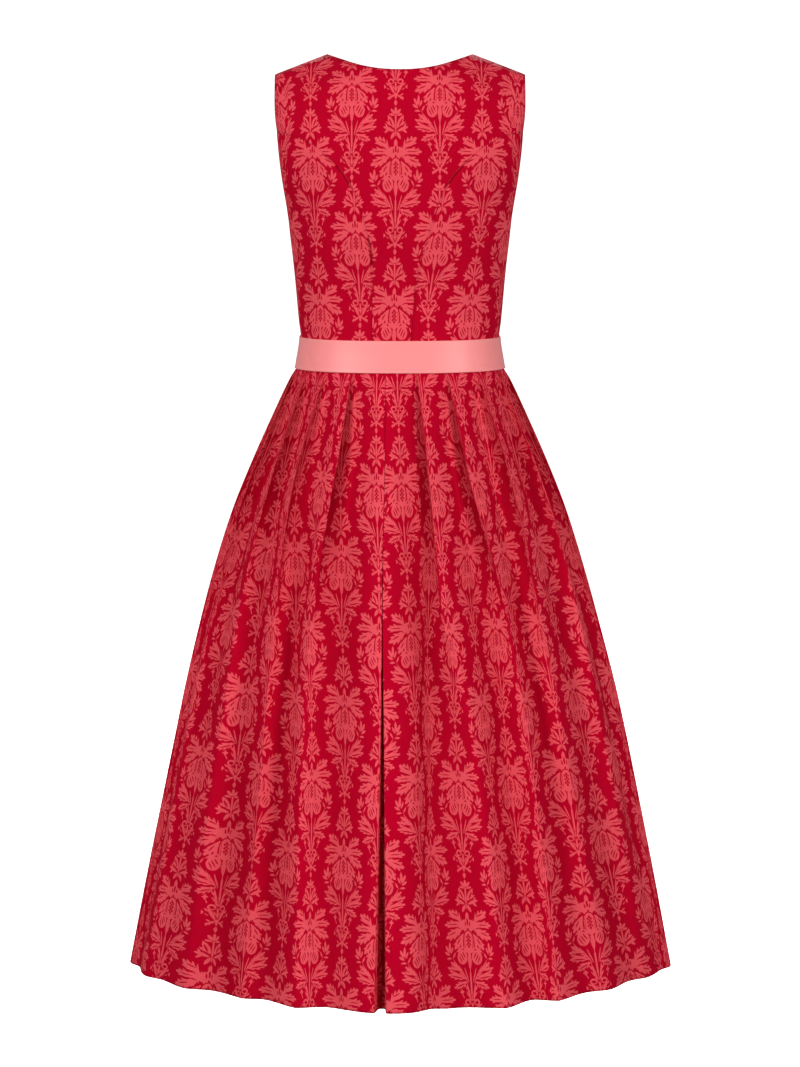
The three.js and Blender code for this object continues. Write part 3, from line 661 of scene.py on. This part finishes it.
def pleat_columns(inner, outer, drop, sign, last):
    """Angles, heights and painted shade of one pleat's columns, from just past its own fold edge to the
    next. Painted shade under 0 is a painted highlight. The first angles run evenly. The others have the
    cloth run in under the next fold edge. The last pleat has no flank."""
    rounded = smoothstep(drop, *ROUNDING)
    slope = np.linspace(0, 1, SLOPE_STEPS + 1)[1:] ** SLOPE_CURVE
    u = slope[None]
    level_flat, level_round = 1 - slope, 0.5 + 0.5 * np.cos(np.pi * slope)
    tuck, crisp = np.zeros_like(slope), np.zeros_like(slope)
    painted_highlight = 1 - smoothstep(slope, *PAINTED_HIGHLIGHT_REACH)
    if not last:
        share = step_share(drop)
        step = np.linspace(0, 1, STEP_STEPS + 1)[1:]
        dark = (lerp(SLOPE_SHADE, 1, smoothstep(step, *SHADE_RISE) ** SHADE_CURVE)
                * (1 - smoothstep(step, *SHADE_FALL)))
        u = np.concatenate([slope * (1 - share), 1 - share + step * share], 1)
        level_flat = np.concatenate([level_flat, step ** FLANK_STEEPNESS])
        level_round = np.concatenate([level_round, 0.5 - 0.5 * np.cos(np.pi * step)])
        tuck = np.concatenate([tuck, np.sin(np.pi * step ** TUCK_CURVE)])
        crisp = np.concatenate([SLOPE_SHADE * smoothstep(slope, *SLOPE_SHADE_REACH), dark])
        painted_highlight = np.concatenate([painted_highlight, np.zeros_like(step)])
    angle = lerp(inner[0], outer[0], u)
    height = lerp(inner[1], outer[1], u)
    level = lerp(level_flat, level_round, ROUNDNESS * rounded)
    soft = soft_fold_depth(angle, drop)
    out = height * (level - 1 + 0.5 * ROUNDNESS * rounded) - soft
    # painted shade in the hollows and painted highlight on the ridges, less on low folds and at the sides,
    # with painted shade in the soft folds
    shade = (lerp(crisp, (1 - level_round) ** HOLLOW_CURVE, rounded) * painted_hollow_shade(drop)
             - RIDGE_PAINTED_HIGHLIGHT * lerp(painted_highlight, level_round ** RIDGE_CURVE, rounded))
    to_side = smoothstep(np.abs(np.sin(angle * DEGREE)), *SIDE_REACH)
    shade = shade * np.clip(height / FULL_HOLLOW, 0, 1) * (1 - SIDE_LIGHT * to_side) + SOFT_FOLD_SHADE * soft
    turned = angle * DEGREE
    arc = DEGREE * np.hypot(skirt_half(drop) * np.cos(turned), skirt_back(drop) * np.sin(turned))
    return angle, angle + sign * tuck * undercut(drop) / arc, out, shade


def skirt_side(pleats, sign, drop):
    """One side of the skirt, from the centre back round to the front: angles, angles with the cloth run in
    under the folds, heights and painted shade, and then its fold lines."""
    lines = [fold_line(row, drop) for row in [CENTRE_PLEAT] + pleats]
    meeting = fold_line(FRONT_MEETING, drop)
    if sign < 0:
        meeting = (meeting[0] - 360, meeting[1])
    centre, height = lines[0]
    half_channel = 0.5 * channel_width(drop) / (skirt_half(drop) * DEGREE * np.cos(centre * DEGREE)) * sign
    lip_out = height * 0.5 * ROUNDNESS * smoothstep(drop, *ROUNDING)
    across, down = (np.array(column)[None] for column in zip(*CHANNEL_PROFILE))
    angle = centre + half_channel * across
    parts = [(angle, angle, lip_out - channel_depth(drop) * down, CHANNEL_SHADE * down + 0 * drop)]
    borders = [(centre + half_channel, height)] + lines[1:] + [meeting]
    for inner, outer in zip(borders, borders[1:]):
        parts.append(pleat_columns(inner, outer, drop, sign, last=outer is meeting))
    return [np.concatenate(columns, 1) for columns in zip(*parts)] + [lines]


def column_rows(table, pleats, sign, drop):
    """Angles of the damask columns of one side at each drop, carried on evenly round to the front."""
    rows = [at_levels(row)(drop) for row in table]
    folds = [at_levels(pleat)(drop) for pleat in pleats]
    folds.append(np.full_like(drop, FRONT_MEETING[0] - (0.0 if sign > 0 else 360.0)))
    opened = smoothstep(drop, *OPENING)
    while len(rows) < 2 * len(folds):
        pleat, half_drop = divmod(len(rows), 2)
        rows.append(lerp(folds[pleat - 1], folds[pleat], lerp(*HIDDEN_COLUMNS[half_drop], opened)))
    return rows


def cloth_across(points, angles, columns, folds, sign, drop):
    """Place across the cloth, in millimetres: natural lengths near the damask columns, with the cloth that
    a fold hides taken up at the fold lines."""
    steps = np.linalg.norm(np.diff(points[..., :2], axis=1), axis=-1)
    length = np.concatenate([np.zeros((len(points), 1)), np.cumsum(steps, axis=1)], 1)
    softness = lerp(*FOLD_SOFTNESS, smoothstep(drop, *SOFTENING))
    last = len(columns) - 1
    result = np.empty_like(length)
    for i, (s, a) in enumerate(zip(length, angles * sign)):
        order = np.argsort(a, kind="stable")
        at_folds, at = (np.interp([row[i] * sign for row in rows], a[order], s[order])
                        for rows in (folds, columns))
        at = np.maximum.accumulate(at + np.arange(len(columns)) * 1e-3)
        weight = UNFOLDED + np.exp(-((s - at_folds[:, None]) / softness[i] + 0.5) ** 2).sum(0)
        total = np.concatenate([[0], np.cumsum(0.5 * (weight[1:] + weight[:-1]) * np.diff(s))])
        taken = np.interp(at, s, total)
        column = np.searchsorted(at, s, side="right") - 1
        low = np.clip(column, 0, last - 1)
        gap = at[low + 1] - at[low]
        extra = HALF_REPEAT - gap
        share = np.where(extra < 0, (s - at[low]) / gap,
                         (total - taken[low]) / np.maximum(taken[low + 1] - taken[low], 1e-9))
        inside = (column >= 0) & (column < last)
        nearest = np.clip(column, 0, last)
        result[i] = nearest * HALF_REPEAT + s - at[nearest] + np.where(inside, extra * share, 0)
    return result


def make_skirt(materials):
    upper, lower = CHANGE_DROP - WAIST_DROP, HEM_DROP - CHANGE_DROP
    drops = np.concatenate([
        np.linspace(WAIST_DROP, CHANGE_DROP, int(upper / UPPER_SPACING), endpoint=False),
        np.linspace(CHANGE_DROP, HEM_DROP, int(lower / LOWER_SPACING)),
    ])
    drop = drops[:, None]
    # length of the cloth from the waist down, at every second degree
    meridians = np.linspace(-180, 180, 181)
    x, y = form_point(meridians[None], drop)
    fall = np.linalg.norm(np.diff(np.stack([x, y, -np.broadcast_to(drop, x.shape)], -1), axis=0), axis=-1)
    fall = np.concatenate([np.zeros((1, len(meridians))), np.cumsum(fall, axis=0)])
    rows = np.arange(len(drops))[:, None]
    sides = {}
    for key, pleats, table, tuck, sign in (("right", PLEATS_RIGHT, COLUMNS_RIGHT, TUCK_RIGHT, 1),
                                           ("left", PLEATS_LEFT, COLUMNS_LEFT, TUCK_LEFT, -1)):
        angles, tucked, outs, shades, lines = skirt_side(pleats, sign, drop)
        points = form_point_out(tucked, drop, outs)
        folds = [angle[:, 0] for angle, _ in lines[1:]] + [np.interp(drops, (TUCK_DROP, HEM_DROP), tuck)]
        across = cloth_across(points, angles, column_rows(table, pleats, sign, drops), folds, sign, drops)
        place = (angles + 180) % 360 / (meridians[1] - meridians[0])
        low = np.clip(place.astype(int), 0, len(meridians) - 2)
        down = lerp(fall[rows, low], fall[rows, low + 1], place - low)
        # painted shade, with painted highlight under 0, goes in the cloth's third part
        shades = np.clip(shades, -RIDGE_PAINTED_HIGHLIGHT, 1)
        cloth = np.stack([across * sign / REPEAT_ACROSS, (down + SKIRT_PHASE) / REPEAT_DOWN, shades], -1)
        sides[key] = (points, cloth)
    # one ring of normals for both sides, so that the quarters meet smoothly
    ring = np.concatenate([sides["right"][0], sides["left"][0][:, -2:0:-1]], 1)[::-1]
    normals = grid_normals(ring, True)[::-1]
    front = sides["right"][0].shape[1] - 1
    made = {}
    for key, order, (pleat, share), way in (
            ("right", range(front + 1), SIDE_CUT_RIGHT, 1),
            ("left", [0, *range(normals.shape[1] - 1, front - 1, -1)], SIDE_CUT_LEFT, -1)):
        grids = (sides[key][0], normals[:, order], sides[key][1])
        cut = len(CHANNEL_PROFILE) - 1 + pleat * (SLOPE_STEPS + STEP_STEPS) + round(share * SLOPE_STEPS)
        for half, columns in (("back", slice(cut + 1)), ("front", slice(cut, None))):
            name = f"skirt_{half}_{key}"
            points, normal, cloth = (grid[::-1, columns][:, ::way] for grid in grids)
            inner = points - normal * SKIRT_WALL
            made[name] = wall_mesh("cloth_" + name, points, inner, cloth, False, materials)
            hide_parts(name)
    return made


# ---------------------------------------------------------------- ribbon

def ribbon_relief(angle, drop):
    """Height of the ribbon's surface: a rolled lower edge and a few soft slanting creases."""
    relief = ROLLED_EDGE[0] * np.exp(-((drop - RIBBON_BOTTOM_DROP) / ROLLED_EDGE[1]) ** 2)
    across_ribbon = (drop - RIBBON_TOP_DROP) / (RIBBON_BOTTOM_DROP - RIBBON_TOP_DROP)
    for at, slant, reach, depth, middle in RIBBON_CREASES:
        line_at = at + slant * (across_ribbon - 0.5)
        relief = relief - (depth * np.exp(-((angle - line_at) / reach) ** 2)
                           * np.exp(-((across_ribbon - middle) / CREASE_LENGTH) ** 2))
    return RIBBON_OUT + relief


def make_ribbon(materials):
    drops = np.linspace(RIBBON_BOTTOM_DROP, RIBBON_TOP_DROP, RIBBON_ROWS)
    angles = np.linspace(-180, 180, RIBBON_COLUMNS, endpoint=False)
    drop, angle = np.meshgrid(drops, angles, indexing="ij")
    below = (drop >= WAIST_DROP)[..., None]
    form = np.where(below, form_point_out(angle, drop, 0.0), torso_point(angle, drop))
    for _ in range(RIBBON_EVENING):
        form[1:-1] = 0.25 * form[:-2] + 0.5 * form[1:-1] + 0.25 * form[2:]
    points = form + grid_normals(form, True) * ribbon_relief(angle, drop)[..., None]
    normals = grid_normals(points, True)
    length = np.cumsum(np.linalg.norm(points[0] - np.roll(points[0], 1, 0), axis=-1))
    cloth = np.stack(np.broadcast_arrays(length[None], drop, 0.0), -1)
    obj = wall_mesh("cloth_waist_ribbon", points, points - normals * RIBBON_WALL, cloth, True, materials)
    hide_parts("waist_ribbon")
    ring = [np.concatenate([row, row[:1]]) for row in (points[-1], points[-2], normals[-1])]
    return obj, [inset_line(*ring, RIBBON_STITCH_INSET)]


# ---------------------------------------------------------------- materials

def srgb(red, green, blue):
    def linear(value):
        value /= 255
        return value / 12.92 if value <= 0.04045 else ((value + 0.055) / 1.055) ** 2.4
    return linear(red), linear(green), linear(blue), 1


# One repeat of the damask, drawn for the right half of its axis. Millimetres: x across, y down the repeat.
# Leaves run from their base to their tip: x, y, x, y, half width. The boundary to the column beside it,
# which lies half a repeat lower, swings out round the palmette and in beside the heart.
LEAVES = [
    # small diamond and sprig
    (0, -1, 0, 6.4, 2.1), (0, 8, 0, 44, 0.9), (0, 7.6, 0, 17, 1.9), (0.4, 17, 6.8, 9.6, 2.0),
    (0.4, 18, 9.4, 16.2, 1.6),
    (1.2, 34, 10.4, 17, 3.6), (4, 31, 13, 25, 1.6), (1, 37, 17.4, 31, 2.4), (8, 34, 15, 39, 1.6),
    (10, 32.6, 14, 27.4, 1.2), (0.6, 36.6, 6.6, 47, 2.3),
    # neck of the crown and the narrow leaf beside the seed pod
    (0, 51, 0, 76, 7.4), (0, 45.6, 0, 58, 2.6), (6.4, 74, 11, 91.6, 2.1), (-19, 61.6, 19, 61.6, 8.0),
    # sprigs at the sides
    (10, 121, 25.6, 99.4, 0.9), (13.4, 121.6, 28, 102.4, 0.9), (28.4, 95, 28, 80.6, 2.1),
    (29, 95, 34.8, 84.4, 2.0),
    (28, 97.4, 36.6, 92.6, 1.9), (25.6, 100.4, 34, 100.6, 1.5), (27.2, 96, 23, 86.2, 1.5),
    (24.2, 101, 20, 93.6, 1.3),
    # stems of the fan, V of stems, star flowers
    (2, 131, 8.6, 109.6, 0.9), (3, 131, 14, 111.4, 0.9), (0, 108, 0, 153, 1.0),
    (0.4, 157, 6.2, 128, 1.5), (4.4, 139, 9.2, 131.6, 1.1), (2.8, 147, 7.6, 139.4, 1.0),
    (13.4, 136.4, 13.4, 144.4, 1.7), (9.6, 140.4, 17.2, 140.4, 1.6), (10.4, 149, 13.2, 142.4, 0.7),
    (14.6, 156.2, 14.6, 162.2, 1.4), (11.6, 159.2, 17.6, 159.2, 1.3), (7.4, 163.4, 12.4, 160, 0.7),
    # heart and anchor
    (10.4, 151.4, 0.2, 170, 2.1), (0, 152.4, 0, 166, 1.3), (0.4, 163, 4.2, 157, 0.9),
    (8.6, 158.4, 13, 153.6, 1.1),
    (0.2, 168.6, 8.8, 173.4, 1.5), (0, 166, 0, 175, 1.5), (5.2, 170.4, 10.2, 167.4, 1.0),
]
# Leaves with barbs towards their tip: x, y, x, y, half width
BARBED = [
    (7, 59, 28.6, 43.6, 7.0), (8, 60.4, 36.2, 61.2, 5.2), (7, 66, 34.4, 77.6, 6.8),
    (5.6, 71, 21.6, 91.4, 6.0),
    (7, 122, 34.6, 110.2, 4.6), (10, 117, 29.4, 104, 3.2), (5, 125, 34.6, 119, 4.3), (4, 128, 26, 136, 4.6),
]
# Veins and slits cut out of the leaves
VEINS = [
    (11, 57.6, 28.4, 53.4, 1.3), (13, 64.6, 36, 66.4, 1.3), (7.4, 70.6, 26, 84, 1.3),
    (3.3, 56.4, 2.3, 63.4, 0.9),
    (0, 64.4, 0, 68.6, 1.0), (4, 30.6, 8.8, 21.4, 1.1), (11, 120.6, 30, 112.6, 0.9),
    (10, 124.8, 29, 120.8, 0.8),
    (0, 53.6, 0, 62, 1.1), (8, 130.4, 21, 134.8, 0.8), (13, 117.4, 25, 114.6, 1.0), (12, 51.6, 22, 47, 0.8),
    (9, 128, 26, 126.4, 1.2), (17, 69.4, 29, 74, 0.8), (14, 61, 30, 60.4, 0.7), (11, 77, 17, 85, 0.8),
]
# Ovals: x, y, half width, half height. First the ground round each fruit, then the fruit.
OVAL_GROUNDS = [(0, 82, 7.9, 14.8), (10.0, 99, 8.8, 10.2), (5.4, 152.4, 4.4, 4.0)]
OVALS = [(0, 82, 6.6, 13.4), (10.0, 99.4, 7.2, 8.6), (6, 152.4, 4.2, 3.7), (8, 173.4, 2.4, 2.0)]
# Arcs over the round fruits and the stem between them
ARCS = [(1.6, 94.6, 8.2, 87.4, 1.5), (7.0, 87.2, 18.8, 93.6, 1.7), (0, 92, 0, 114, 2.3)]
# Seeds and stripes cut out of the fruits, and the hollows of the scrolls
MARKS = [
    (4.9, 74, 4.9, 90, 0.5), (0, 71.6, 0, 75.4, 1.1), (0, 76.0, 0, 79.8, 1.1), (0, 80.4, 0, 84.2, 1.1),
    (0, 84.8, 0, 88.6, 1.1), (1.8, 73.9, 1.8, 77.5, 1.0), (1.8, 78.3, 1.8, 81.9, 1.0),
    (1.8, 82.7, 1.8, 86.3, 1.0),
    (5.4, 101, 9.8, 92.8, 0.8), (7.6, 104.4, 12.6, 94.8, 0.8), (10.4, 106.4, 15, 97.6, 0.8),
    (3.2, 153.6, 8.4, 152.0, 1.9), (5.6, 174.6, 8.6, 174.4, 0.7),
]
BORDER_MIDDLE = 26.0
BORDER_SWING = 12.4
BORDER_START = 43.8
BORDER_FULLNESS = 2.2
THREAD = 0.55
BARB_DEPTH = 0.66
BARBS = 2.3
BARB_LEAN = 0.55
BARB_RISE = 1.6
LEAF_SLIMNESS = 1.18
BARBED_SLIMNESS = 1.22
MOTIF_NARROWNESS = 1.13

# jacquard: how much the colour varies in streaks along the weft, in clouds and with the threads
STREAK_LIGHT = 0.22
STREAK_SCALES = (0.12, 1.3, 1.0)
CLOUD_LIGHT = 0.14
CLOUD_SCALE = 0.035
THREAD_LIGHT = 0.05
GROUND_ROUGHNESS = 0.82
FIGURE_SMOOTHNESS = 0.2
WEAVE_STRENGTH = 0.35
WEAVE_HEIGHT = 0.00012
# ribbon and sewing thread
RIBBON_STREAK_LIGHT = 0.12
RIBBON_STREAK_SCALES = (0.05, 1.1, 1.0)
TWIST_SCALE = 900
TWIST_DARKEST = 0.85
TWIST_LIGHT = 0.25


class Maths:
    """Builds nodes in a node tree. Inputs are sockets, numbers or vectors."""

    def __init__(self, tree):
        self.tree = tree

    def _node(self, kind, inputs, operation=None):
        node = self.tree.nodes.new(kind)
        if operation:
            node.operation = operation
        for place, value in enumerate(inputs):
            if isinstance(value, bpy.types.NodeSocket):
                self.tree.links.new(value, node.inputs[place])
            else:
                node.inputs[place].default_value = value
        return node

    def number(self, operation, *inputs):
        return self._node("ShaderNodeMath", inputs, operation).outputs[0]

    def vector(self, operation, *inputs):
        return self._node("ShaderNodeVectorMath", inputs, operation).outputs[0]

    def split(self, vector):
        return self._node("ShaderNodeSeparateXYZ", [vector]).outputs

    def join(self, *values):
        return self._node("ShaderNodeCombineXYZ", values).outputs[0]

    def scaled(self, vector, factor):
        node = self._node("ShaderNodeVectorMath", [vector], "SCALE")
        self.tree.links.new(factor, node.inputs["Scale"])
        return node.outputs[0]

    def tone(self, colour):
        node = self._node("ShaderNodeRGB", [])
        node.outputs[0].default_value = colour
        return node.outputs[0]

    def cloth(self):
        """The place in the cloth and the painted shade that the mesh holds."""
        node = self._node("ShaderNodeAttribute", [])
        node.attribute_name = "cloth"
        return node.outputs["Vector"]

    def noise(self, vector, scale, detail):
        """Soft noise, as much over 0 as under it."""
        node = self._node("ShaderNodeTexNoise", [vector])
        node.inputs["Scale"].default_value = scale
        node.inputs["Detail"].default_value = detail
        return self.number("SUBTRACT", node.outputs["Fac"], 0.5)

    def least(self, fields):
        """The smallest number in a list of vectors."""
        total = fields[0]
        for field in fields[1:]:
            total = self.vector("MINIMUM", total, field)
        x, y, z = self.split(total)
        return self.number("MINIMUM", self.number("MINIMUM", x, y), z)


def oval_row(x, y, half_width, half_height):
    return 0, 1 / half_height, -y / half_height, 1 / half_width, 0, -x / half_width


def leaf_row(x0, y0, x1, y1, half_width):
    length = math.hypot(x1 - x0, y1 - y0)
    ex, ey = (x1 - x0) / length, (y1 - y0) / length
    middle_x, middle_y = (x0 + x1) / 2, (y0 + y1) / 2
    return (ex * 2 / length, ey * 2 / length, -(middle_x * ex + middle_y * ey) * 2 / length,
            -ey / half_width, ex / half_width, (middle_x * ey - middle_y * ex) / half_width)


def forms_field(maths, across, down, forms, kind):
    """Under 1 inside any of the forms. Three forms are worked out at once, one in each part of a vector."""
    rows = [(oval_row if kind == "oval" else leaf_row)(*form) for form in forms]
    while len(rows) % 3:
        rows.append(rows[-1])
    vector = maths.vector
    fields = []
    for start in range(0, len(rows), 3):
        a, b, c, d, e, f = zip(*rows[start:start + 3])
        along = vector("MULTIPLY_ADD", across, a, vector("MULTIPLY_ADD", down, b, c))
        aside = vector("MULTIPLY_ADD", across, d, vector("MULTIPLY_ADD", down, e, f))
        aside = vector("MULTIPLY", aside, aside) if kind == "oval" else vector("ABSOLUTE", aside)
        field = vector("MULTIPLY_ADD", along, along, aside)
        if kind == "barbed":
            teeth = vector("MULTIPLY_ADD", along, (BARBS,) * 3, vector("MULTIPLY", aside, (-BARB_LEAN,) * 3))
            teeth = vector("SUBTRACT", (0.5,) * 3, vector("FRACTION", teeth))
            near_edge = vector("MULTIPLY", aside, (BARB_RISE * BARB_DEPTH,) * 3)
            near_edge = vector("MINIMUM", near_edge, (BARB_DEPTH,) * 3)
            field = vector("MULTIPLY_ADD", teeth, near_edge, field)
        fields.append(field)
    return maths.least(fields)


def damask_group():
    """A node group: place in the cloth, in repeats, to 1 in the figure and 0 in the ground."""
    tree = bpy.data.node_groups.new("damask", "ShaderNodeTree")
    tree.interface.new_socket("Cloth", in_out="INPUT", socket_type="NodeSocketVector")
    tree.interface.new_socket("Figure", in_out="OUTPUT", socket_type="NodeSocketFloat")
    start, end = tree.nodes.new("NodeGroupInput"), tree.nodes.new("NodeGroupOutput")
    maths = Maths(tree)
    number = maths.number
    u, v, _ = maths.split(start.outputs[0])
    folded = number("SUBTRACT", number("FRACT", number("ADD", u, 0.5)), 0.5)
    here_x = number("MULTIPLY", number("ABSOLUTE", folded), REPEAT_ACROSS)
    here_y = number("MULTIPLY", number("FRACT", v), REPEAT_DOWN)
    turn = number("MULTIPLY", number("SUBTRACT", here_y, BORDER_START), 2 * math.pi / REPEAT_DOWN)
    wave = number("SINE", turn)
    swing = number("MAXIMUM", number("MINIMUM", number("MULTIPLY", wave, BORDER_FULLNESS), 1.0), -1.0)
    border = number("MULTIPLY_ADD", swing, BORDER_SWING, BORDER_MIDDLE)
    beyond = number("GREATER_THAN", here_x, border)
    there_x = number("SUBTRACT", HALF_REPEAT, here_x)
    there_y = number("MULTIPLY", number("FRACT", number("ADD", v, 0.5)), REPEAT_DOWN)
    x = number("MULTIPLY_ADD", beyond, number("SUBTRACT", there_x, here_x), here_x)
    y = number("MULTIPLY_ADD", beyond, number("SUBTRACT", there_y, here_y), here_y)
    x = number("SNAP", number("MULTIPLY", x, MOTIF_NARROWNESS), THREAD)
    y = number("SNAP", y, THREAD)
    across, down = maths.join(x, x, x), maths.join(y, y, y)
    field = number("MULTIPLY", forms_field(maths, across, down, LEAVES, "leaf"), LEAF_SLIMNESS)
    for forms, kind, adds in (
            (BARBED, "barbed", True), (VEINS, "leaf", False), (OVAL_GROUNDS, "oval", False),
            (OVALS, "oval", True), (ARCS, "leaf", True), (MARKS, "leaf", False)):
        other = forms_field(maths, across, down, forms, kind)
        if kind == "barbed":
            other = number("MULTIPLY", other, BARBED_SLIMNESS)
        if adds:
            field = number("MINIMUM", field, other)
        else:
            field = number("MAXIMUM", field, number("SUBTRACT", 2.0, other))
    tree.links.new(number("LESS_THAN", field, 1.0), end.inputs[0])
    return tree


def new_material(name, sockets):
    """A material whose shader starts with these values. Returns it, its maths and its shader's inputs."""
    material = bpy.data.materials.new(name)
    material.use_nodes = True
    inputs = material.node_tree.nodes["Principled BSDF"].inputs
    for socket, value in sockets.items():
        inputs[socket].default_value = value
    return material, Maths(material.node_tree), inputs


def jacquard(name, group, ground, figure):
    """Cotton jacquard: a matt ground and a slightly silky figure of long floats."""
    material, maths, inputs = new_material(name, {
        "Specular IOR Level": 0.03, "Sheen Weight": 0.02, "Sheen Roughness": 0.4,
        "Sheen Tint": (1.0, 0.3, 0.3, 1)})
    nodes, link = material.node_tree.nodes, material.node_tree.links.new
    cloth = maths.cloth()
    damask = nodes.new("ShaderNodeGroup")
    damask.node_tree = group
    link(cloth, damask.inputs[0])
    mask = damask.outputs[0]

    millimetres = maths.vector("MULTIPLY", cloth, (REPEAT_ACROSS, REPEAT_DOWN, 1.0))
    threads = maths.vector("SINE", maths.vector("MULTIPLY", millimetres, (2 * math.pi / THREAD,) * 3))
    warp, weft, _ = maths.split(threads)
    weave = maths.number("MULTIPLY", warp, weft)
    floats = maths.number("MULTIPLY_ADD", mask, maths.number("SUBTRACT", weft, weave), weave)

    streaks = maths.noise(maths.vector("MULTIPLY", millimetres, STREAK_SCALES), 1.0, 1.0)
    lively = maths.number("MULTIPLY_ADD", streaks, STREAK_LIGHT, 1.0)
    lively = maths.number("MULTIPLY_ADD", maths.noise(millimetres, CLOUD_SCALE, 3.0), CLOUD_LIGHT, lively)
    lively = maths.number("MULTIPLY_ADD", floats, THREAD_LIGHT, lively)
    # the painted shade and painted highlight held on the mesh darken or lighten the colour
    darkness = tuple(-share for share in PAINTED_HOLLOW_DARKNESS)
    painted_shade_tone = maths.vector("MULTIPLY_ADD", maths.split(cloth)[2], darkness, (1.0, 1.0, 1.0))

    colour = nodes.new("ShaderNodeMix")
    colour.data_type = "RGBA"
    colour.inputs["A"].default_value = ground
    colour.inputs["B"].default_value = figure
    link(mask, colour.inputs[0])
    link(maths.scaled(maths.vector("MULTIPLY", colour.outputs[2], painted_shade_tone), lively), inputs["Base Color"])
    link(maths.number("MULTIPLY_ADD", mask, -FIGURE_SMOOTHNESS, GROUND_ROUGHNESS), inputs["Roughness"])
    bump = nodes.new("ShaderNodeBump")
    bump.inputs["Strength"].default_value = WEAVE_STRENGTH
    bump.inputs["Distance"].default_value = WEAVE_HEIGHT
    link(weave, bump.inputs["Height"])
    link(bump.outputs[0], inputs["Normal"])
    return material


def satin(name, colour):
    """Satin ribbon with fine streaks along its length."""
    material, maths, inputs = new_material(name, {
        "Roughness": 0.43, "Specular IOR Level": 0.35, "Sheen Weight": 0.3, "Sheen Roughness": 0.4})
    streaks = maths.noise(maths.vector("MULTIPLY", maths.cloth(), RIBBON_STREAK_SCALES), 1.0, 2.0)
    lively = maths.number("MULTIPLY_ADD", streaks, RIBBON_STREAK_LIGHT, 1.0)
    shaded = maths.scaled(maths.tone(colour), lively)
    material.node_tree.links.new(shaded, inputs["Base Color"])
    return material


def thread(name, colour):
    """Sewing thread with a fine light and dark twist."""
    material, maths, inputs = new_material(name, {"Roughness": 0.5})
    nodes, link = material.node_tree.nodes, material.node_tree.links.new
    place = nodes.new("ShaderNodeTexCoord")
    twist = nodes.new("ShaderNodeTexWave")
    twist.inputs["Scale"].default_value = TWIST_SCALE
    link(place.outputs["Object"], twist.inputs["Vector"])
    light = maths.number("MULTIPLY_ADD", twist.outputs["Fac"], TWIST_LIGHT, TWIST_DARKEST)
    link(maths.scaled(maths.tone(colour), light), inputs["Base Color"])
    return material


GROUND = srgb(186, 0, 37)
FIGURE = srgb(232, 80, 91)
RIBBON = srgb(255, 146, 145)
THREAD_RED = srgb(216, 40, 62)
THREAD_SALMON = srgb(255, 176, 172)
damask = damask_group()
cloth_face = jacquard("jacquard_face", damask, GROUND, FIGURE)
cloth_reverse = jacquard("jacquard_reverse", damask, FIGURE, GROUND)
ribbon_face = satin("ribbon_satin", RIBBON)

bodice, armhole_lines = make_bodice([cloth_face, cloth_reverse])
skirt = make_skirt([cloth_face, cloth_reverse])
ribbon, ribbon_lines = make_ribbon([ribbon_face, ribbon_face])
armhole_stitches = stitches_mesh("stitches_armholes", armhole_lines, thread("thread_crimson", THREAD_RED))
ribbon_stitches = stitches_mesh("stitches_ribbon", ribbon_lines, thread("thread_salmon", THREAD_SALMON))
for slot, objects in (("jacquard", [*bodice.values(), *skirt.values(), armhole_stitches]),
                      ("ribbon", [ribbon, ribbon_stitches])):
    for obj in objects:
        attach(obj, "root")

# ---------------------------------------------------------------- camera, floor and light

bpy.context.scene.view_settings.view_transform = "Standard"

SENSOR = 36
# focal length and height of the photo, in its pixels
PHOTO_FOCAL = 3278
PHOTO_HEIGHT = 1067
CAMERA_PLACE = (0, -3.963, -0.0361)
CAMERA_TILT = 7.8
camera_data = bpy.data.cameras.new("camera")
camera = add_object("camera", camera_data)
camera_data.lens = SENSOR * PHOTO_FOCAL / PHOTO_HEIGHT
camera_data.sensor_width = SENSOR
camera.location = CAMERA_PLACE
camera.rotation_euler = ((90 - CAMERA_TILT) * DEGREE, 0, 0)
bpy.context.scene.camera = camera


def stage_piece(name, corners, faces):
    """A piece of the plain white set. It is seen, but doesn't light the dress: the lights do that."""
    mesh = bpy.data.meshes.new(name)
    mesh.from_pydata(corners, [], faces)
    white = {"Base Color": (0.9, 0.9, 0.9, 1), "Emission Color": (1, 1, 1, 1), "Emission Strength": 1.0}
    mesh.materials.append(new_material(name, white)[0])
    obj = add_object(name, mesh)
    obj.visible_diffuse = False
    obj.visible_glossy = False
    obj.visible_shadow = False


FLOOR_Z = -1.42
STAGE_REACH = 40.0
corners = [(x * STAGE_REACH, y * STAGE_REACH, z) for z in (FLOOR_Z, STAGE_REACH)
           for x, y in ((-1, -1), (1, -1), (1, 1), (-1, 1))]
stage_piece("floor", corners[:4], [(0, 1, 2, 3)])
stage_piece("backdrop", corners, [(0, 4, 5, 1), (1, 5, 6, 2), (2, 6, 7, 3), (3, 7, 4, 0), (4, 7, 6, 5)])

world = bpy.data.worlds.new("studio")
bpy.context.scene.world = world
world.use_nodes = True
world.node_tree.nodes["Background"].inputs["Color"].default_value = (1, 1, 1, 1)
world.node_tree.nodes["Background"].inputs["Strength"].default_value = 0.24


def soft_light(name, place, aim, size, power):
    data = bpy.data.lights.new(name, "AREA")
    data.shape = "SQUARE"
    data.size = size
    data.energy = power
    light = add_object(name, data)
    light.location = place
    light.rotation_euler = (Vector(aim) - Vector(place)).to_track_quat("-Z", "Y").to_euler()


soft_light("key", (-2.5, -3.2, 1.2), (0, 0, -0.65), 1.0, 109)
soft_light("fill", (2.8, -3.0, 0.6), (0, 0, -0.7), 1.2, 86)
soft_light("rear", (0, 4.2, 0.9), (0, 0, -0.5), 1.2, 120)
